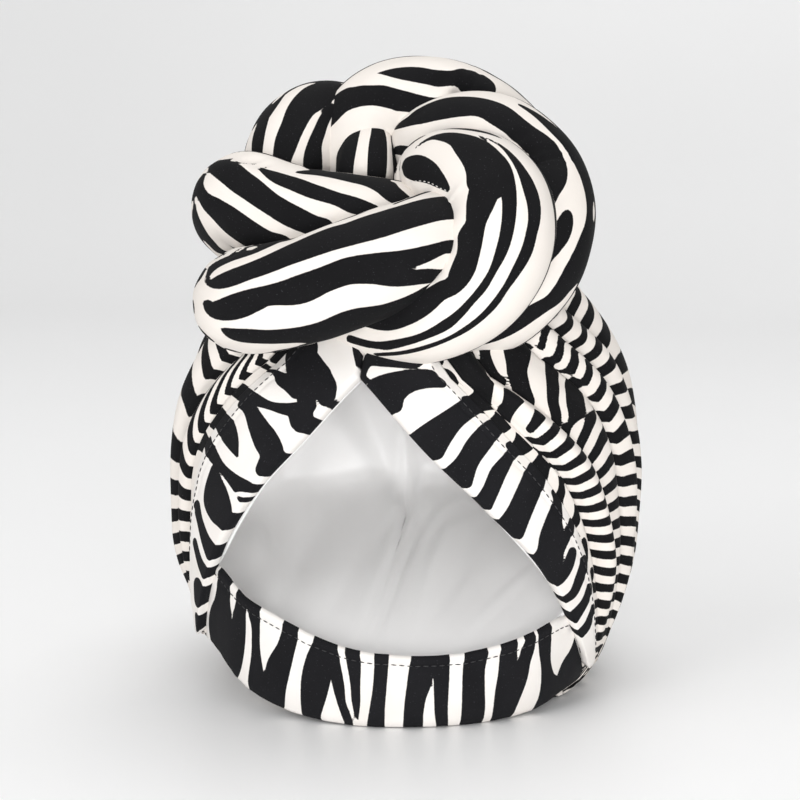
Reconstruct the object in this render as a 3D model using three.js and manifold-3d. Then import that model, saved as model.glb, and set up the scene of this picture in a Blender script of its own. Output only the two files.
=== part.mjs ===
// A pre-tied turban: a rounded cloth cap with a big padded knot on its top front.
// The cap stands on a table with its opening to the front (-Y). Millimetres, +Z up.
// The origin is on the table, under the middle of the whole turban.
import * as THREE from 'three';
import { mergeVertices } from 'three/addons/utils/BufferGeometryUtils.js';
import Module from 'manifold-3d';

const wasm = await Module();
wasm.setup();

// Driving dimensions of the cap
const capHalfWidth = 101;
const capFrontReach = 93;
const capBackReach = 104;
const capHeight = 221;
const capCentreHeight = 100;
const capCentreSetback = 5;
const seatTilt = 20; // degrees that the knot's seat leans forward of straight up
const cornerLift = 20; // how far the left corner of the hem is off the table

// Driving dimensions of the cloth
const wrapWall = 2.2;
const bandWall = 1.9;
const liningWall = 1.2;
const clearance = 0.35;
const foldHeight = 6;
const liningSlack = 30; // how far the loose lining hangs in front of the back of the cap
const liningFloor = 24; // height of the loose lining over the table, just behind the nape band
const liningRise = 0.3; // how steeply it rises from there to the back, as a slope
const liningRounding = 18;
const liningTuck = 3; // degrees that the lining goes down behind the nape band's top edge
const liningGather = 12; // degrees above the nape band in which the lining draws in to meet it

// Where the lift, the folds and the gathers begin and end, as shares of the cap's sizes and of the fold lines
const liftAcross = { from: 0.3, to: 0.85 };
const liftAlong = { from: -0.35, to: 0.45 };
const foldsAppear = { from: 0.03, to: 0.16 };
const foldsGather = { from: 0.74, to: 0.92 };

// Driving dimensions of the knot
const rollDiameter = 43;
const knotHalfWidth = 87.5;
const knotHalfHeight = 66;
const knotSetForward = 50;
const knotSetAcross = 5;
const knotCentreHeight = 217;
const knotTurn = 10; // degrees that the knot faces towards +X
const knotPitch = 10; // degrees that it faces up
const knotLean = 30; // degrees that its top lies further back

// How finely the faceted solids are made
const rollSides = 12;
const rollStep = 12;
const samplesPerFold = 2;
const samplesPerStation = 4;

const degrees = Math.PI / 180;

// The cap's level sections, from the table up, as shares of the cap's own sizes
const capSections = [
  { up: 0.000, side: 0.800, front: 0.945, back: 0.635 },
  { up: 0.018, side: 0.850, front: 0.975, back: 0.692 },
  { up: 0.072, side: 0.915, front: 0.995, back: 0.788 },
  { up: 0.190, side: 0.975, front: 1.000, back: 0.904 },
  { up: 0.353, side: 1.000, front: 0.989, back: 0.981 },
  { up: 0.516, side: 0.990, front: 0.946, back: 1.000 },
  { up: 0.670, side: 0.895, front: 0.849, back: 0.971 },
  { up: 0.796, side: 0.720, front: 0.667, back: 0.894 },
  { up: 0.905, side: 0.515, front: 0.387, back: 0.750 },
  { up: 0.968, side: 0.340, front: 0.086, back: 0.577 },
  { up: 1.000, side: 0.075, front: -0.215, back: 0.337 },
];

// Fold lines of one half of the wrap. Each row is one line in the cloth, from under the knot, down the
// side of the cap and under it, to the nape edge. A station is [bearing, fall] in degrees on the cap:
// bearing goes round the knot's seat from the front, fall goes down from it. Height is a share of foldHeight.
const rightFolds = [
  { name: 'hem edge', height: 0.0,
    stations: [[-4.5, 24], [-4.5, 39.5], [17, 58.5], [31.5, 76.5], [44, 97], [56, 127.5]] },
  { name: 'band seam', height: 0.0,
    stations: [[16, 24], [30, 42], [42, 59.5], [51, 76.5], [57, 98], [56.5, 128.3]] },
  { name: 'first valley', height: -0.1,
    stations: [[20, 23], [34, 43], [47, 60], [56, 77], [60, 99], [57, 129]] },
  { name: 'first roll', height: 0.9,
    stations: [[25, 23], [39, 44], [53, 61], [61, 78], [63.5, 100], [57.5, 129.5]] },
  { name: 'second valley', height: -0.1,
    stations: [[31, 22], [45, 45], [59, 62], [66.5, 79], [67, 102], [58, 130]] },
  { name: 'side panel', height: 0.35,
    stations: [[42, 21], [57, 46], [69, 63], [73, 81], [70.5, 104], [58.5, 130.5]] },
  { name: 'third valley', height: -0.1,
    stations: [[51, 20], [67, 47], [76.5, 64], [78, 82], [74, 105], [58.5, 131]] },
  { name: 'second roll', height: 0.85,
    stations: [[58, 19], [74, 48], [82, 65], [82.5, 83], [77, 107], [58, 131.2]] },
  { name: 'fourth valley', height: -0.1,
    stations: [[66, 18], [80, 48], [86.5, 65], [86.5, 84], [81, 108], [57, 131]] },
  { name: 'third roll', height: 0.85,
    stations: [[74, 17], [87, 48], [92, 65], [91, 85], [85, 109], [55.5, 130.5]] },
  { name: 'fifth valley', height: 0.0,
    stations: [[84, 16], [97, 48], [99, 65], [97, 86], [89, 112], [53.5, 130]] },
  { name: 'crown roll', height: 0.8,
    stations: [[97, 14], [108, 48], [108, 66], [105, 88], [95, 116], [50.5, 129]] },
  { name: 'sixth valley', height: 0.0,
    stations: [[111, 12], [119, 49], [119, 68], [114, 92], [103, 123], [46, 127.5]] },
  { name: 'back roll', height: 0.6,
    stations: [[127, 11], [131, 50], [131, 71], [127, 97], [115, 132], [39, 125.2]] },
  { name: 'back valley', height: 0.0,
    stations: [[143, 10], [145, 51], [145, 74], [142, 102], [133, 142], [29, 122.5]] },
  { name: 'last roll', height: 0.5,
    stations: [[160, 9], [161, 52], [161, 76], [159, 107], [154, 150], [15, 119.8]] },
  { name: 'back seam', height: 0.1,
    stations: [[180, 9], [180, 53], [180, 78], [180, 110], [180, 156], [0, 118.8]] },
];

const leftFolds = [
  { name: 'hem edge', height: 0.0,
    stations: [[-5.5, 24], [-5.5, 39.5], [-22, 57], [-34, 74], [-44, 95], [-52, 121.5]] },
  { name: 'band seam', height: 0.0,
    stations: [[-28, 24], [-42, 42], [-53, 58], [-59.5, 75], [-60, 95], [-53, 122.5]] },
  { name: 'first valley', height: -0.1,
    stations: [[-34, 23], [-48, 43], [-58, 59], [-64, 76], [-63.5, 96], [-53.5, 123]] },
  { name: 'first roll', height: 0.5,
    stations: [[-41, 22], [-55, 45], [-64, 61], [-69, 78], [-66.5, 98], [-54, 123.5]] },
  { name: 'second valley', height: -0.1,
    stations: [[-49, 21], [-63, 47], [-71, 63], [-73.5, 80], [-69.5, 100], [-54, 124]] },
  { name: 'second roll', height: 1.0,
    stations: [[-60, 19], [-77, 49], [-79.5, 64], [-78, 82], [-72.5, 103], [-54, 124.5]] },
  { name: 'third valley', height: -0.1,
    stations: [[-72, 18], [-89, 50], [-87, 65], [-82, 84], [-74, 106], [-53, 124.3]] },
  { name: 'third roll', height: 0.7,
    stations: [[-84, 16], [-97, 49], [-95, 65], [-89, 85], [-79, 109], [-51, 123.2]] },
  { name: 'fourth valley', height: 0.0,
    stations: [[-96, 14], [-106, 49], [-104, 66], [-98, 88], [-86, 113], [-48, 121.4]] },
  { name: 'crown roll', height: 0.7,
    stations: [[-110, 13], [-117, 49], [-115, 68], [-109, 92], [-97, 119], [-43.5, 119.8]] },
  { name: 'fifth valley', height: 0.0,
    stations: [[-126, 11], [-130, 50], [-128, 71], [-123, 97], [-112, 129], [-37, 118.2]] },
  { name: 'back roll', height: 0.6,
    stations: [[-143, 10], [-145, 51], [-144, 74], [-141, 102], [-132, 141], [-27, 118.4]] },
  { name: 'back valley', height: 0.0,
    stations: [[-161, 9], [-162, 52], [-161, 76], [-160, 107], [-155, 150], [-14, 118.4]] },
  { name: 'back seam', height: 0.1,
    stations: [[-180, 9], [-180, 53], [-180, 78], [-180, 110], [-180, 156], [0, 118.8]] },
];

// The nape band's two edges, from the left corner to the right one, as fall in degrees at each bearing.
// Tuck is how much of its way behind the front bands the band has gone there.
const napeBand = [
  { bearing: -55, bottom: 121.5, top: 99.5, tuck: 1 },
  { bearing: -48, bottom: 119.3, top: 99.0, tuck: 1 },
  { bearing: -41, bottom: 117.7, top: 99.2, tuck: 0.9 },
  { bearing: -32, bottom: 116.8, top: 99.8, tuck: 0.1 },
  { bearing: -20, bottom: 116.8, top: 101.0, tuck: 0 },
  { bearing: -5, bottom: 117.2, top: 103.5, tuck: 0 },
  { bearing: 10, bottom: 117.6, top: 105.0, tuck: 0 },
  { bearing: 24, bottom: 120.0, top: 106.0, tuck: 0 },
  { bearing: 36, bottom: 122.6, top: 106.6, tuck: 0.1 },
  { bearing: 45, bottom: 125.0, top: 107.8, tuck: 0.9 },
  { bearing: 51, bottom: 127.0, top: 109.5, tuck: 1 },
  { bearing: 58, bottom: 129.0, top: 111.0, tuck: 1 },
];

// The knot's padded roll, seen from the front, in the stretches that lie over one another. Across and up are
// shares of the knot's half width and half height, toward and girth are shares of the roll's diameter.
const knotStretches = {
  innerRight: [
    { across: 0.06, up: 0.14, toward: -0.30, girth: 0.70 },
    { across: 0.23, up: 0.22, toward: 0.16, girth: 0.90 },
    { across: 0.375, up: 0.17, toward: 0.38, girth: 1.02 },
    { across: 0.475, up: 0.03, toward: 0.45, girth: 1.08 },
    { across: 0.50, up: -0.15, toward: 0.42, girth: 1.08 },
    { across: 0.465, up: -0.35, toward: 0.29, girth: 1.05 },
    { across: 0.365, up: -0.53, toward: 0.09, girth: 1.02 },
    { across: 0.20, up: -0.645, toward: -0.20, girth: 1.02 },
    { across: -0.01, up: -0.68, toward: -0.54, girth: 1.02 },
    { across: -0.225, up: -0.65, toward: -0.82, girth: 1.00 },
    { across: -0.455, up: -0.60, toward: -0.95, girth: 0.98 },
    { across: -0.66, up: -0.56, toward: -0.78, girth: 0.90 },
  ],
  frontLeft: [
    { across: -0.53, up: -0.58, toward: -0.88, girth: 0.80 },
    { across: -0.67, up: -0.58, toward: -0.66, girth: 0.96 },
    { across: -0.72, up: -0.59, toward: -0.30, girth: 1.04 },
    { across: -0.64, up: -0.59, toward: -0.05, girth: 1.05 },
    { across: -0.455, up: -0.55, toward: 0.08, girth: 1.05 },
    { across: -0.235, up: -0.455, toward: 0.22, girth: 1.05 },
    { across: 0.04, up: -0.315, toward: 0.30, girth: 1.02 },
    { across: 0.245, up: -0.18, toward: 0.12, girth: 0.95 },
    { across: 0.39, up: -0.05, toward: -0.20, girth: 0.80 },
  ],
  middleLeft: [
    { across: -0.50, up: -0.20, toward: -1.02, girth: 0.80 },
    { across: -0.70, up: -0.10, toward: -0.90, girth: 0.92 },
    { across: -0.775, up: 0.01, toward: -0.52, girth: 0.98 },
    { across: -0.72, up: 0.045, toward: -0.22, girth: 1.00 },
    { across: -0.50, up: -0.06, toward: -0.08, girth: 1.02 },
    { across: -0.23, up: -0.10, toward: -0.08, girth: 1.02 },
    { across: 0.04, up: -0.13, toward: -0.18, girth: 0.95 },
    { across: 0.24, up: -0.16, toward: -0.42, girth: 0.80 },
  ],
  outerRight: [
    { across: 0.02, up: 0.27, toward: -0.42, girth: 0.80 },
    { across: 0.17, up: 0.41, toward: -0.20, girth: 0.95 },
    { across: 0.34, up: 0.46, toward: -0.04, girth: 1.02 },
    { across: 0.475, up: 0.44, toward: 0.00, girth: 1.04 },
    { across: 0.59, up: 0.34, toward: 0.00, girth: 1.04 },
    { across: 0.67, up: 0.20, toward: -0.02, girth: 1.06 },
    { across: 0.70, up: 0.03, toward: -0.05, girth: 1.08 },
    { across: 0.695, up: -0.14, toward: -0.10, girth: 1.06 },
    { across: 0.655, up: -0.32, toward: -0.20, girth: 1.04 },
    { across: 0.57, up: -0.48, toward: -0.34, girth: 1.02 },
    { across: 0.46, up: -0.60, toward: -0.52, girth: 1.00 },
    { across: 0.30, up: -0.66, toward: -0.78, girth: 1.00 },
    { across: 0.05, up: -0.66, toward: -1.05, girth: 0.96 },
    { across: -0.30, up: -0.56, toward: -1.25, girth: 0.92 },
    { across: -0.62, up: -0.30, toward: -1.12, girth: 0.90 },
  ],
  top: [
    { across: -0.16, up: 0.12, toward: -0.66, girth: 0.80 },
    { across: -0.18, up: 0.38, toward: -0.50, girth: 0.92 },
    { across: -0.14, up: 0.59, toward: -0.36, girth: 0.98 },
    { across: -0.02, up: 0.715, toward: -0.26, girth: 1.00 },
    { across: 0.15, up: 0.745, toward: -0.20, girth: 1.00 },
    { across: 0.33, up: 0.69, toward: -0.26, girth: 1.00 },
    { across: 0.49, up: 0.565, toward: -0.44, girth: 0.96 },
    { across: 0.60, up: 0.39, toward: -0.72, girth: 0.92 },
    { across: 0.62, up: 0.14, toward: -0.98, girth: 0.84 },
  ],
  upperLeft: [
    { across: -0.49, up: 0.02, toward: -0.72, girth: 0.86 },
    { across: -0.515, up: 0.27, toward: -0.52, girth: 0.98 },
    { across: -0.46, up: 0.49, toward: -0.46, girth: 1.00 },
    { across: -0.34, up: 0.59, toward: -0.56, girth: 0.98 },
    { across: -0.18, up: 0.53, toward: -0.80, girth: 0.88 },
    { across: -0.05, up: 0.32, toward: -1.02, girth: 0.80 },
  ],
  centre: [
    { across: -0.13, up: 0.60, toward: -0.60, girth: 0.60 },
    { across: -0.14, up: 0.36, toward: -0.22, girth: 0.64 },
    { across: -0.145, up: 0.08, toward: -0.40, girth: 0.64 },
  ],
};

// A smooth curve through a table: the value at x, through the rows' own places
function throughRows(places, values, x) {
  const last = places.length - 1;
  let i = 0;
  while (i < last - 1 && x > places[i + 1]) i += 1;
  const slope = (a, b) => (values[b] - values[a]) / (places[b] - places[a]);
  const before = i > 0 ? slope(i - 1, i + 1) : slope(0, 1);
  const after = i + 2 <= last ? slope(i, i + 2) : slope(last - 1, last);
  const span = places[i + 1] - places[i];
  const t = THREE.MathUtils.clamp((x - places[i]) / span, 0, 1);
  const rise = values[i + 1] - values[i];
  const bend = (before + after) * span - 2 * rise;
  return values[i] + t * (before * span + t * (rise - before * span - bend + t * bend));
}

const column = (rows, name, size = 1) => rows.map((row) => row[name] * size);

const sectionHeights = column(capSections, 'up', capHeight);
const sectionSides = column(capSections, 'side', capHalfWidth);
const sectionFronts = column(capSections, 'front', -capFrontReach);
const sectionBacks = column(capSections, 'back', capBackReach);

const capCentre = new THREE.Vector3(0, capCentreSetback, capCentreHeight);

function smoothShare(value, range, size = 1) {
  return THREE.MathUtils.smoothstep(value, range.from * size, range.to * size);
}

// The underside is flat on the table, but lifted towards the left front corner
function undersideHeight(point) {
  const left = smoothShare(-point.x, liftAcross, capHalfWidth);
  const back = THREE.MathUtils.smoothstep(point.y, liftAlong.from * capFrontReach, liftAlong.to * capBackReach);
  return cornerLift * left * (1 - back);
}

function insideCap(point) {
  if (point.z < undersideHeight(point) || point.z > capHeight) return false;
  const side = throughRows(sectionHeights, sectionSides, point.z);
  const front = throughRows(sectionHeights, sectionFronts, point.z);
  const back = throughRows(sectionHeights, sectionBacks, point.z);
  return Math.hypot(point.x / side, (2 * point.y - front - back) / (back - front)) < 1;
}

// A direction from the cap's centre, by its bearing round the knot's seat and its fall from it
function capDirection(bearing, fall) {
  const direction = new THREE.Vector3(
    Math.sin(fall * degrees) * Math.sin(bearing * degrees),
    -Math.sin(fall * degrees) * Math.cos(bearing * degrees),
    Math.cos(fall * degrees),
  );
  return direction.applyAxisAngle(new THREE.Vector3(1, 0, 0), seatTilt * degrees);
}

const bearingOf = (direction) => {
  const upright = direction.clone().applyAxisAngle(new THREE.Vector3(1, 0, 0), -seatTilt * degrees);
  return Math.atan2(upright.x, -upright.y) / degrees;
};

const fallOf = (direction) => {
  const upright = direction.clone().applyAxisAngle(new THREE.Vector3(1, 0, 0), -seatTilt * degrees);
  return Math.acos(upright.z) / degrees;
};

// How far the cap's outside is from its centre in a direction
function capReach(direction) {
  let near = 0;
  let far = 2 * (capHeight + capHalfWidth);
  while (far - near > 1e-4) {
    const middle = (near + far) / 2;
    const point = capCentre.clone().addScaledVector(direction, middle);
    if (insideCap(point)) near = middle;
    else far = middle;
  }
  return near;
}

const spline = (points) => new THREE.CatmullRomCurve3(points, false, 'catmullrom');

// Samples 0..1 with the same number in every interval between rows
function samples(rowCount, each) {
  const steps = (rowCount - 1) * each;
  return Array.from({ length: steps + 1 }, (_, i) => i / steps);
}

// A fold line: straight from under the knot to its second station, level with the opening's apex, then curved
function foldLine(stations) {
  const points = stations.map(([bearing, fall]) => capDirection(bearing, fall));
  const curve = spline(points.slice(1));
  const neck = 1 / (points.length - 1);
  return (t) => (
    t < neck ? points[0].clone().lerp(points[1], t / neck) : curve.getPoint((t - neck) / (1 - neck))
  );
}

// A grid of directions over the cloth: a list for each place across the folds, from the hem edge to the back seam
function clothDirections(lines, across, along) {
  const downLines = lines.map(foldLine);
  const acrossLines = along.map((t) => spline(downLines.map((line) => line(t))));
  return across.map((s) => acrossLines.map((line) => line.getPoint(s).normalize()));
}

// A closed sheet between two grids of points of the same size
function sheetGeometry(outer, inner) {
  const columns = outer.length;
  const rows = outer[0].length;
  const positions = [];
  for (const grid of [outer, inner]) for (const line of grid) for (const p of line) positions.push(p.x, p.y, p.z);
  const at = (side, i, j) => side * columns * rows + i * rows + j;
  const index = [];
  const quad = (a, b, c, d) => index.push(a, b, c, a, c, d);
  for (let i = 0; i < columns - 1; i += 1) {
    for (let j = 0; j < rows - 1; j += 1) {
      quad(at(0, i, j), at(0, i + 1, j), at(0, i + 1, j + 1), at(0, i, j + 1));
      quad(at(1, i, j), at(1, i, j + 1), at(1, i + 1, j + 1), at(1, i + 1, j));
    }
    quad(at(0, i, 0), at(1, i, 0), at(1, i + 1, 0), at(0, i + 1, 0));
    quad(at(0, i, rows - 1), at(0, i + 1, rows - 1), at(1, i + 1, rows - 1), at(1, i, rows - 1));
  }
  for (let j = 0; j < rows - 1; j += 1) {
    quad(at(0, 0, j), at(0, 0, j + 1), at(1, 0, j + 1), at(1, 0, j));
    quad(at(0, columns - 1, j), at(1, columns - 1, j), at(1, columns - 1, j + 1), at(0, columns - 1, j + 1));
  }
  return closedGeometry(positions, index);
}

// Merges what meets, drops faces that have shrunk to a line, and turns the faces outwards
function closedGeometry(positions, index) {
  let geometry = new THREE.BufferGeometry();
  geometry.setAttribute('position', new THREE.Float32BufferAttribute(positions, 3));
  geometry.setIndex(index);
  geometry = mergeVertices(geometry, 2e-3);
  const all = geometry.index.array;
  const kept = [];
  for (let i = 0; i < all.length; i += 3) {
    const [a, b, c] = [all[i], all[i + 1], all[i + 2]];
    if (a !== b && b !== c && c !== a) kept.push(a, b, c);
  }
  const place = geometry.attributes.position;
  const corner = (i) => new THREE.Vector3().fromBufferAttribute(place, i);
  let volume = 0;
  for (let i = 0; i < kept.length; i += 3) {
    volume += corner(kept[i]).dot(corner(kept[i + 1]).cross(corner(kept[i + 2])));
  }
  if (volume < 0) for (let i = 0; i < kept.length; i += 3) [kept[i], kept[i + 1]] = [kept[i + 1], kept[i]];
  geometry.setIndex(kept);
  return geometry;
}

const toSolid = (geometry) => new wasm.Manifold(new wasm.Mesh({
  numProp: 3,
  vertProperties: Float32Array.from(geometry.attributes.position.array),
  triVerts: Uint32Array.from(geometry.index.array),
}));

function fromSolid(solid) {
  const mesh = solid.getMesh();
  const geometry = new THREE.BufferGeometry();
  geometry.setAttribute('position', new THREE.BufferAttribute(mesh.vertProperties, 3));
  geometry.setIndex(new THREE.BufferAttribute(mesh.triVerts, 1));
  return geometry;
}

// A point of the cap's skin, by direction and how far outside the cap's nominal form it lies
function skinPoint(direction, proud) {
  const point = capCentre.clone().addScaledVector(direction, capReach(direction) + proud);
  point.z = Math.max(point.z, 0);
  return point;
}

// The folds stand out on the sides and fade out towards the table
function foldFade(direction) {
  const point = skinPoint(direction, 0);
  return smoothShare(point.z - undersideHeight(point), foldsAppear, capHeight);
}

// One half of the wrap, with its folds, and the folded band on its hem
function wrapHalf(folds, side) {
  const across = samples(folds.length, samplesPerFold);
  const along = samples(folds[0].stations.length, samplesPerStation);
  const directions = clothDirections(folds.map((fold) => fold.stations), across, along);
  const rowNumbers = folds.map((_, i) => i);
  const heights = column(folds, 'height', foldHeight);
  const foldAt = across.map((s) => throughRows(rowNumbers, heights, s * (folds.length - 1)));
  const gathered = along.map((t) => 1 - smoothShare(t, foldsGather));
  const layer = (proud, lines, rise) => lines.map((line, i) => line.map((direction, j) => (
    skinPoint(direction, proud + rise[i] * gathered[j] * foldFade(direction))
  )));
  const wrap = sheetGeometry(layer(0, directions, foldAt), layer(-wrapWall, directions, foldAt));
  const bandLines = directions.slice(0, samplesPerFold + 1);
  const bandLevels = bandLines.map((line) => line.slice(0, -1));
  const flat = bandLines.map(() => 0);
  const band = sheetGeometry(
    layer(clearance + bandWall, bandLevels, flat),
    layer(clearance, bandLevels, flat),
  );
  for (const geometry of [wrap, band]) geometry.translate(side * clearance / 2, 0, 0);
  return { wrap, band };
}

const tuckDepth = wrapWall + 2 * clearance; // how far the nape band goes in behind the front bands

function napeBandGeometry() {
  const along = samples(napeBand.length, 2);
  const across = samples(4, 1);
  const rowNumbers = napeBand.map((_, i) => i);
  const look = (name, s) => throughRows(rowNumbers, column(napeBand, name), s * (napeBand.length - 1));
  const layer = (proud) => along.map((s) => across.map((w) => {
    const fall = THREE.MathUtils.lerp(look('bottom', s), look('top', s), w);
    const tuck = THREE.MathUtils.clamp(look('tuck', s), 0, 1);
    return skinPoint(capDirection(look('bearing', s), fall), proud - tuck * tuckDepth);
  }));
  return sheetGeometry(layer(0), layer(-bandWall));
}

// The lesser of two lengths, rounded over where they are nearly alike
function softLesser(a, b, rounding) {
  const apart = Math.min(Math.abs(a - b) / rounding, 1);
  return Math.min(a, b) - rounding * (1 - apart) ** 2 / 4;
}

// The lining follows the wrap, but hangs loose at the back and over the table, and meets the nape band
// behind its top edge
function liningGeometry() {
  const bandBearings = column(napeBand, 'bearing');
  const bandTops = column(napeBand, 'top');
  const linesOf = (folds, corner) => folds
    .filter((fold, i) => i % 2 === 0 || i === folds.length - 1)
    .map((fold, i, kept) => {
      const bearing = corner * (1 - i / (kept.length - 1));
      const bandTop = throughRows(bandBearings, bandTops, bearing);
      return [[fold.stations[0][0], 0.5], ...fold.stations.slice(1, -1), [bearing, bandTop + liningTuck]];
    });
  const right = linesOf(rightFolds, bandBearings.at(-2));
  const left = linesOf(leftFolds, bandBearings[1]);
  const lines = [...right, ...left.reverse().slice(1)];
  const directions = clothDirections(lines, samples(lines.length, 2), samples(lines[0].length, 2));
  const tucks = column(napeBand, 'tuck');
  const insetAt = (direction) => {
    const bearing = THREE.MathUtils.clamp(bearingOf(direction), bandBearings[0], bandBearings.at(-1));
    const tuck = THREE.MathUtils.clamp(throughRows(bandBearings, tucks, bearing), 0, 1);
    const top = throughRows(bandBearings, bandTops, bearing);
    const near = THREE.MathUtils.smoothstep(fallOf(direction), top - liningGather, top);
    return bandWall + clearance + tuckDepth * THREE.MathUtils.lerp(1, tuck, near);
  };
  const layer = (depth) => directions.map((line) => line.map((direction) => {
    const back = Math.max(direction.y, 0);
    const loose = capReach(direction) - insetAt(direction) - liningSlack * back * back;
    const fallAway = liningRise * direction.y - direction.z;
    const overFloor = capCentreHeight - liningFloor - liningRise * (capCentreSetback + capFrontReach);
    const toFloor = fallAway > 0.05 ? overFloor / fallAway : Infinity;
    return capCentre.clone().addScaledVector(direction, softLesser(loose, toFloor, liningRounding) - depth);
  }));
  return sheetGeometry(layer(0), layer(liningWall));
}

// The knot's own frame: across, up and toward the viewer
const knotAxes = (() => {
  const turn = new THREE.Euler(-knotPitch * degrees, 0, knotTurn * degrees, 'ZXY');
  const matrix = new THREE.Matrix4().makeRotationFromEuler(turn);
  const across = new THREE.Vector3();
  const back = new THREE.Vector3();
  const up = new THREE.Vector3();
  matrix.extractBasis(across, back, up);
  return { across, up, toward: back.negate() };
})();

// A padded stretch of the roll: rings along a smooth line, closed by rounded ends
function rollGeometry(stretch, extra) {
  const centre = new THREE.Vector3(knotSetAcross, -knotSetForward, knotCentreHeight);
  const points = stretch.map((row) => {
    const up = row.up * knotHalfHeight;
    const toward = row.toward * rollDiameter - up * Math.tan(knotLean * degrees);
    return centre.clone()
      .addScaledVector(knotAxes.across, row.across * knotHalfWidth)
      .addScaledVector(knotAxes.up, up)
      .addScaledVector(knotAxes.toward, toward);
  });
  const line = spline(points);
  const rings = Math.max(6, Math.round(line.getLength() / rollStep));
  const frames = line.computeFrenetFrames(rings, false);
  const rowNumbers = stretch.map((_, i) => i);
  const girths = column(stretch, 'girth', rollDiameter / 2);
  const positions = [];
  const ends = [];
  for (let i = 0; i <= rings; i += 1) {
    const share = i / rings;
    const along = line.getUtoTmapping(share);
    const girth = throughRows(rowNumbers, girths, along * (stretch.length - 1)) + extra;
    const fromEnd = Math.min(share, 1 - share) * line.getLength() + extra;
    const rounding = Math.sqrt(Math.max(0, 1 - Math.max(0, 1 - fromEnd / girth) ** 2));
    const middle = line.getPointAt(share);
    if (i === 0 || i === rings) {
      ends.push(middle.clone().addScaledVector(frames.tangents[i], (i ? 1 : -1) * extra));
      continue;
    }
    for (let j = 0; j < rollSides; j += 1) {
      const angle = 2 * Math.PI * j / rollSides;
      const p = middle.clone()
        .addScaledVector(frames.normals[i], Math.cos(angle) * girth * rounding)
        .addScaledVector(frames.binormals[i], Math.sin(angle) * girth * rounding);
      positions.push(p.x, p.y, p.z);
    }
  }
  const ringCount = rings - 1;
  for (const end of ends) positions.push(end.x, end.y, end.z);
  const index = [];
  for (let j = 0; j < rollSides; j += 1) {
    const next = (j + 1) % rollSides;
    for (let i = 0; i < ringCount - 1; i += 1) {
      const [a, b] = [i * rollSides + j, i * rollSides + next];
      index.push(a, b, b + rollSides, a, b + rollSides, a + rollSides);
    }
    const lastRing = (ringCount - 1) * rollSides;
    index.push(next, j, ringCount * rollSides);
    index.push(lastRing + j, lastRing + next, ringCount * rollSides + 1);
  }
  return closedGeometry(positions, index);
}

function knotSolid(extra) {
  return Object.values(knotStretches)
    .map((stretch) => toSolid(rollGeometry(stretch, extra)))
    .reduce((whole, stretch) => whole.add(stretch));
}

// The largest connected piece of a solid
function mainBody(solid) {
  return solid.decompose().reduce((best, body) => (body.volume() > best.volume() ? body : best));
}

const printCloth = new THREE.MeshStandardMaterial({ color: 0xe8e4de, roughness: 0.85, metalness: 0 });
const printRoll = new THREE.MeshStandardMaterial({ color: 0xe6e0d8, roughness: 0.85, metalness: 0 });
const darkHem = new THREE.MeshStandardMaterial({ color: 0x24242a, roughness: 0.85, metalness: 0 });
const satin = new THREE.MeshStandardMaterial({ color: 0xf2f1f0, roughness: 0.5, metalness: 0 });

const turban = new THREE.Group();
turban.name = 'turban_headwrap';

function addPiece(name, geometry, material) {
  const piece = new THREE.Mesh(geometry, material);
  piece.name = name;
  turban.add(piece);
}

const seat = knotSolid(clearance);
const right = wrapHalf(rightFolds, 1);
const left = wrapHalf(leftFolds, -1);
const napeSolid = toSolid(napeBandGeometry());
const napeSeat = [[1, 0, 0], [-1, 0, 0], [0, 1, 0], [0, -1, 0], [0, 0, 1], [0, 0, -1]]
  .map((way) => napeSolid.translate(way.map((step) => step * clearance)))
  .reduce((whole, moved) => whole.add(moved));
const besideKnot = (geometry) => fromSolid(mainBody(toSolid(geometry).subtract(seat)));
const besideBoth = (geometry) => fromSolid(mainBody(toSolid(geometry).subtract(seat).subtract(napeSeat)));

addPiece('knot_roll', fromSolid(knotSolid(0)), printRoll);
addPiece('wrap_panel_right', besideBoth(right.wrap), printCloth);
addPiece('wrap_panel_left', besideBoth(left.wrap), printCloth);
addPiece('front_band_right', besideKnot(right.band), darkHem);
addPiece('front_band_left', besideKnot(left.band), darkHem);
addPiece('nape_band', fromSolid(napeSolid), darkHem);
addPiece('lining', besideKnot(liningGeometry()), satin);

// The origin is on the table, under the middle of the turban's box
const box = new THREE.Box3().setFromObject(turban);
const middle = box.getCenter(new THREE.Vector3());
turban.position.set(-middle.x, -middle.y, -box.min.z);

export default turban;
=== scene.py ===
import math

import bmesh
import bpy
import numpy as np
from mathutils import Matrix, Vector


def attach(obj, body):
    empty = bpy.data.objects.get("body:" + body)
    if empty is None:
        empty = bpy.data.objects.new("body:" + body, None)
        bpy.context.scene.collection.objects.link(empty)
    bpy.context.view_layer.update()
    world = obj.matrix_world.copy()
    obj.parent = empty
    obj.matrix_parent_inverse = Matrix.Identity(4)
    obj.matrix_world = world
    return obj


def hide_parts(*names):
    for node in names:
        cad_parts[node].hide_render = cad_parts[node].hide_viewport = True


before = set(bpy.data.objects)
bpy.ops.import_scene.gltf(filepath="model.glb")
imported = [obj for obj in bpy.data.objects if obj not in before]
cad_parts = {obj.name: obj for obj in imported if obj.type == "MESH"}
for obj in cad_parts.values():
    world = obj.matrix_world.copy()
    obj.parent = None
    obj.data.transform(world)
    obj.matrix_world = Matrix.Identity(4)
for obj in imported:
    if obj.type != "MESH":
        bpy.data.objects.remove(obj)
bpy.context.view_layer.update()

# Lengths below are in millimetres in the cap's own frame, whose origin is under the cap's middle.
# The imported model's origin is under the middle of the whole box, so everything is moved by this much.
mm = 0.001
sameVertex = 2e-6       # metres
capShift = np.array([-0.52, 2.21, 0.0])

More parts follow.
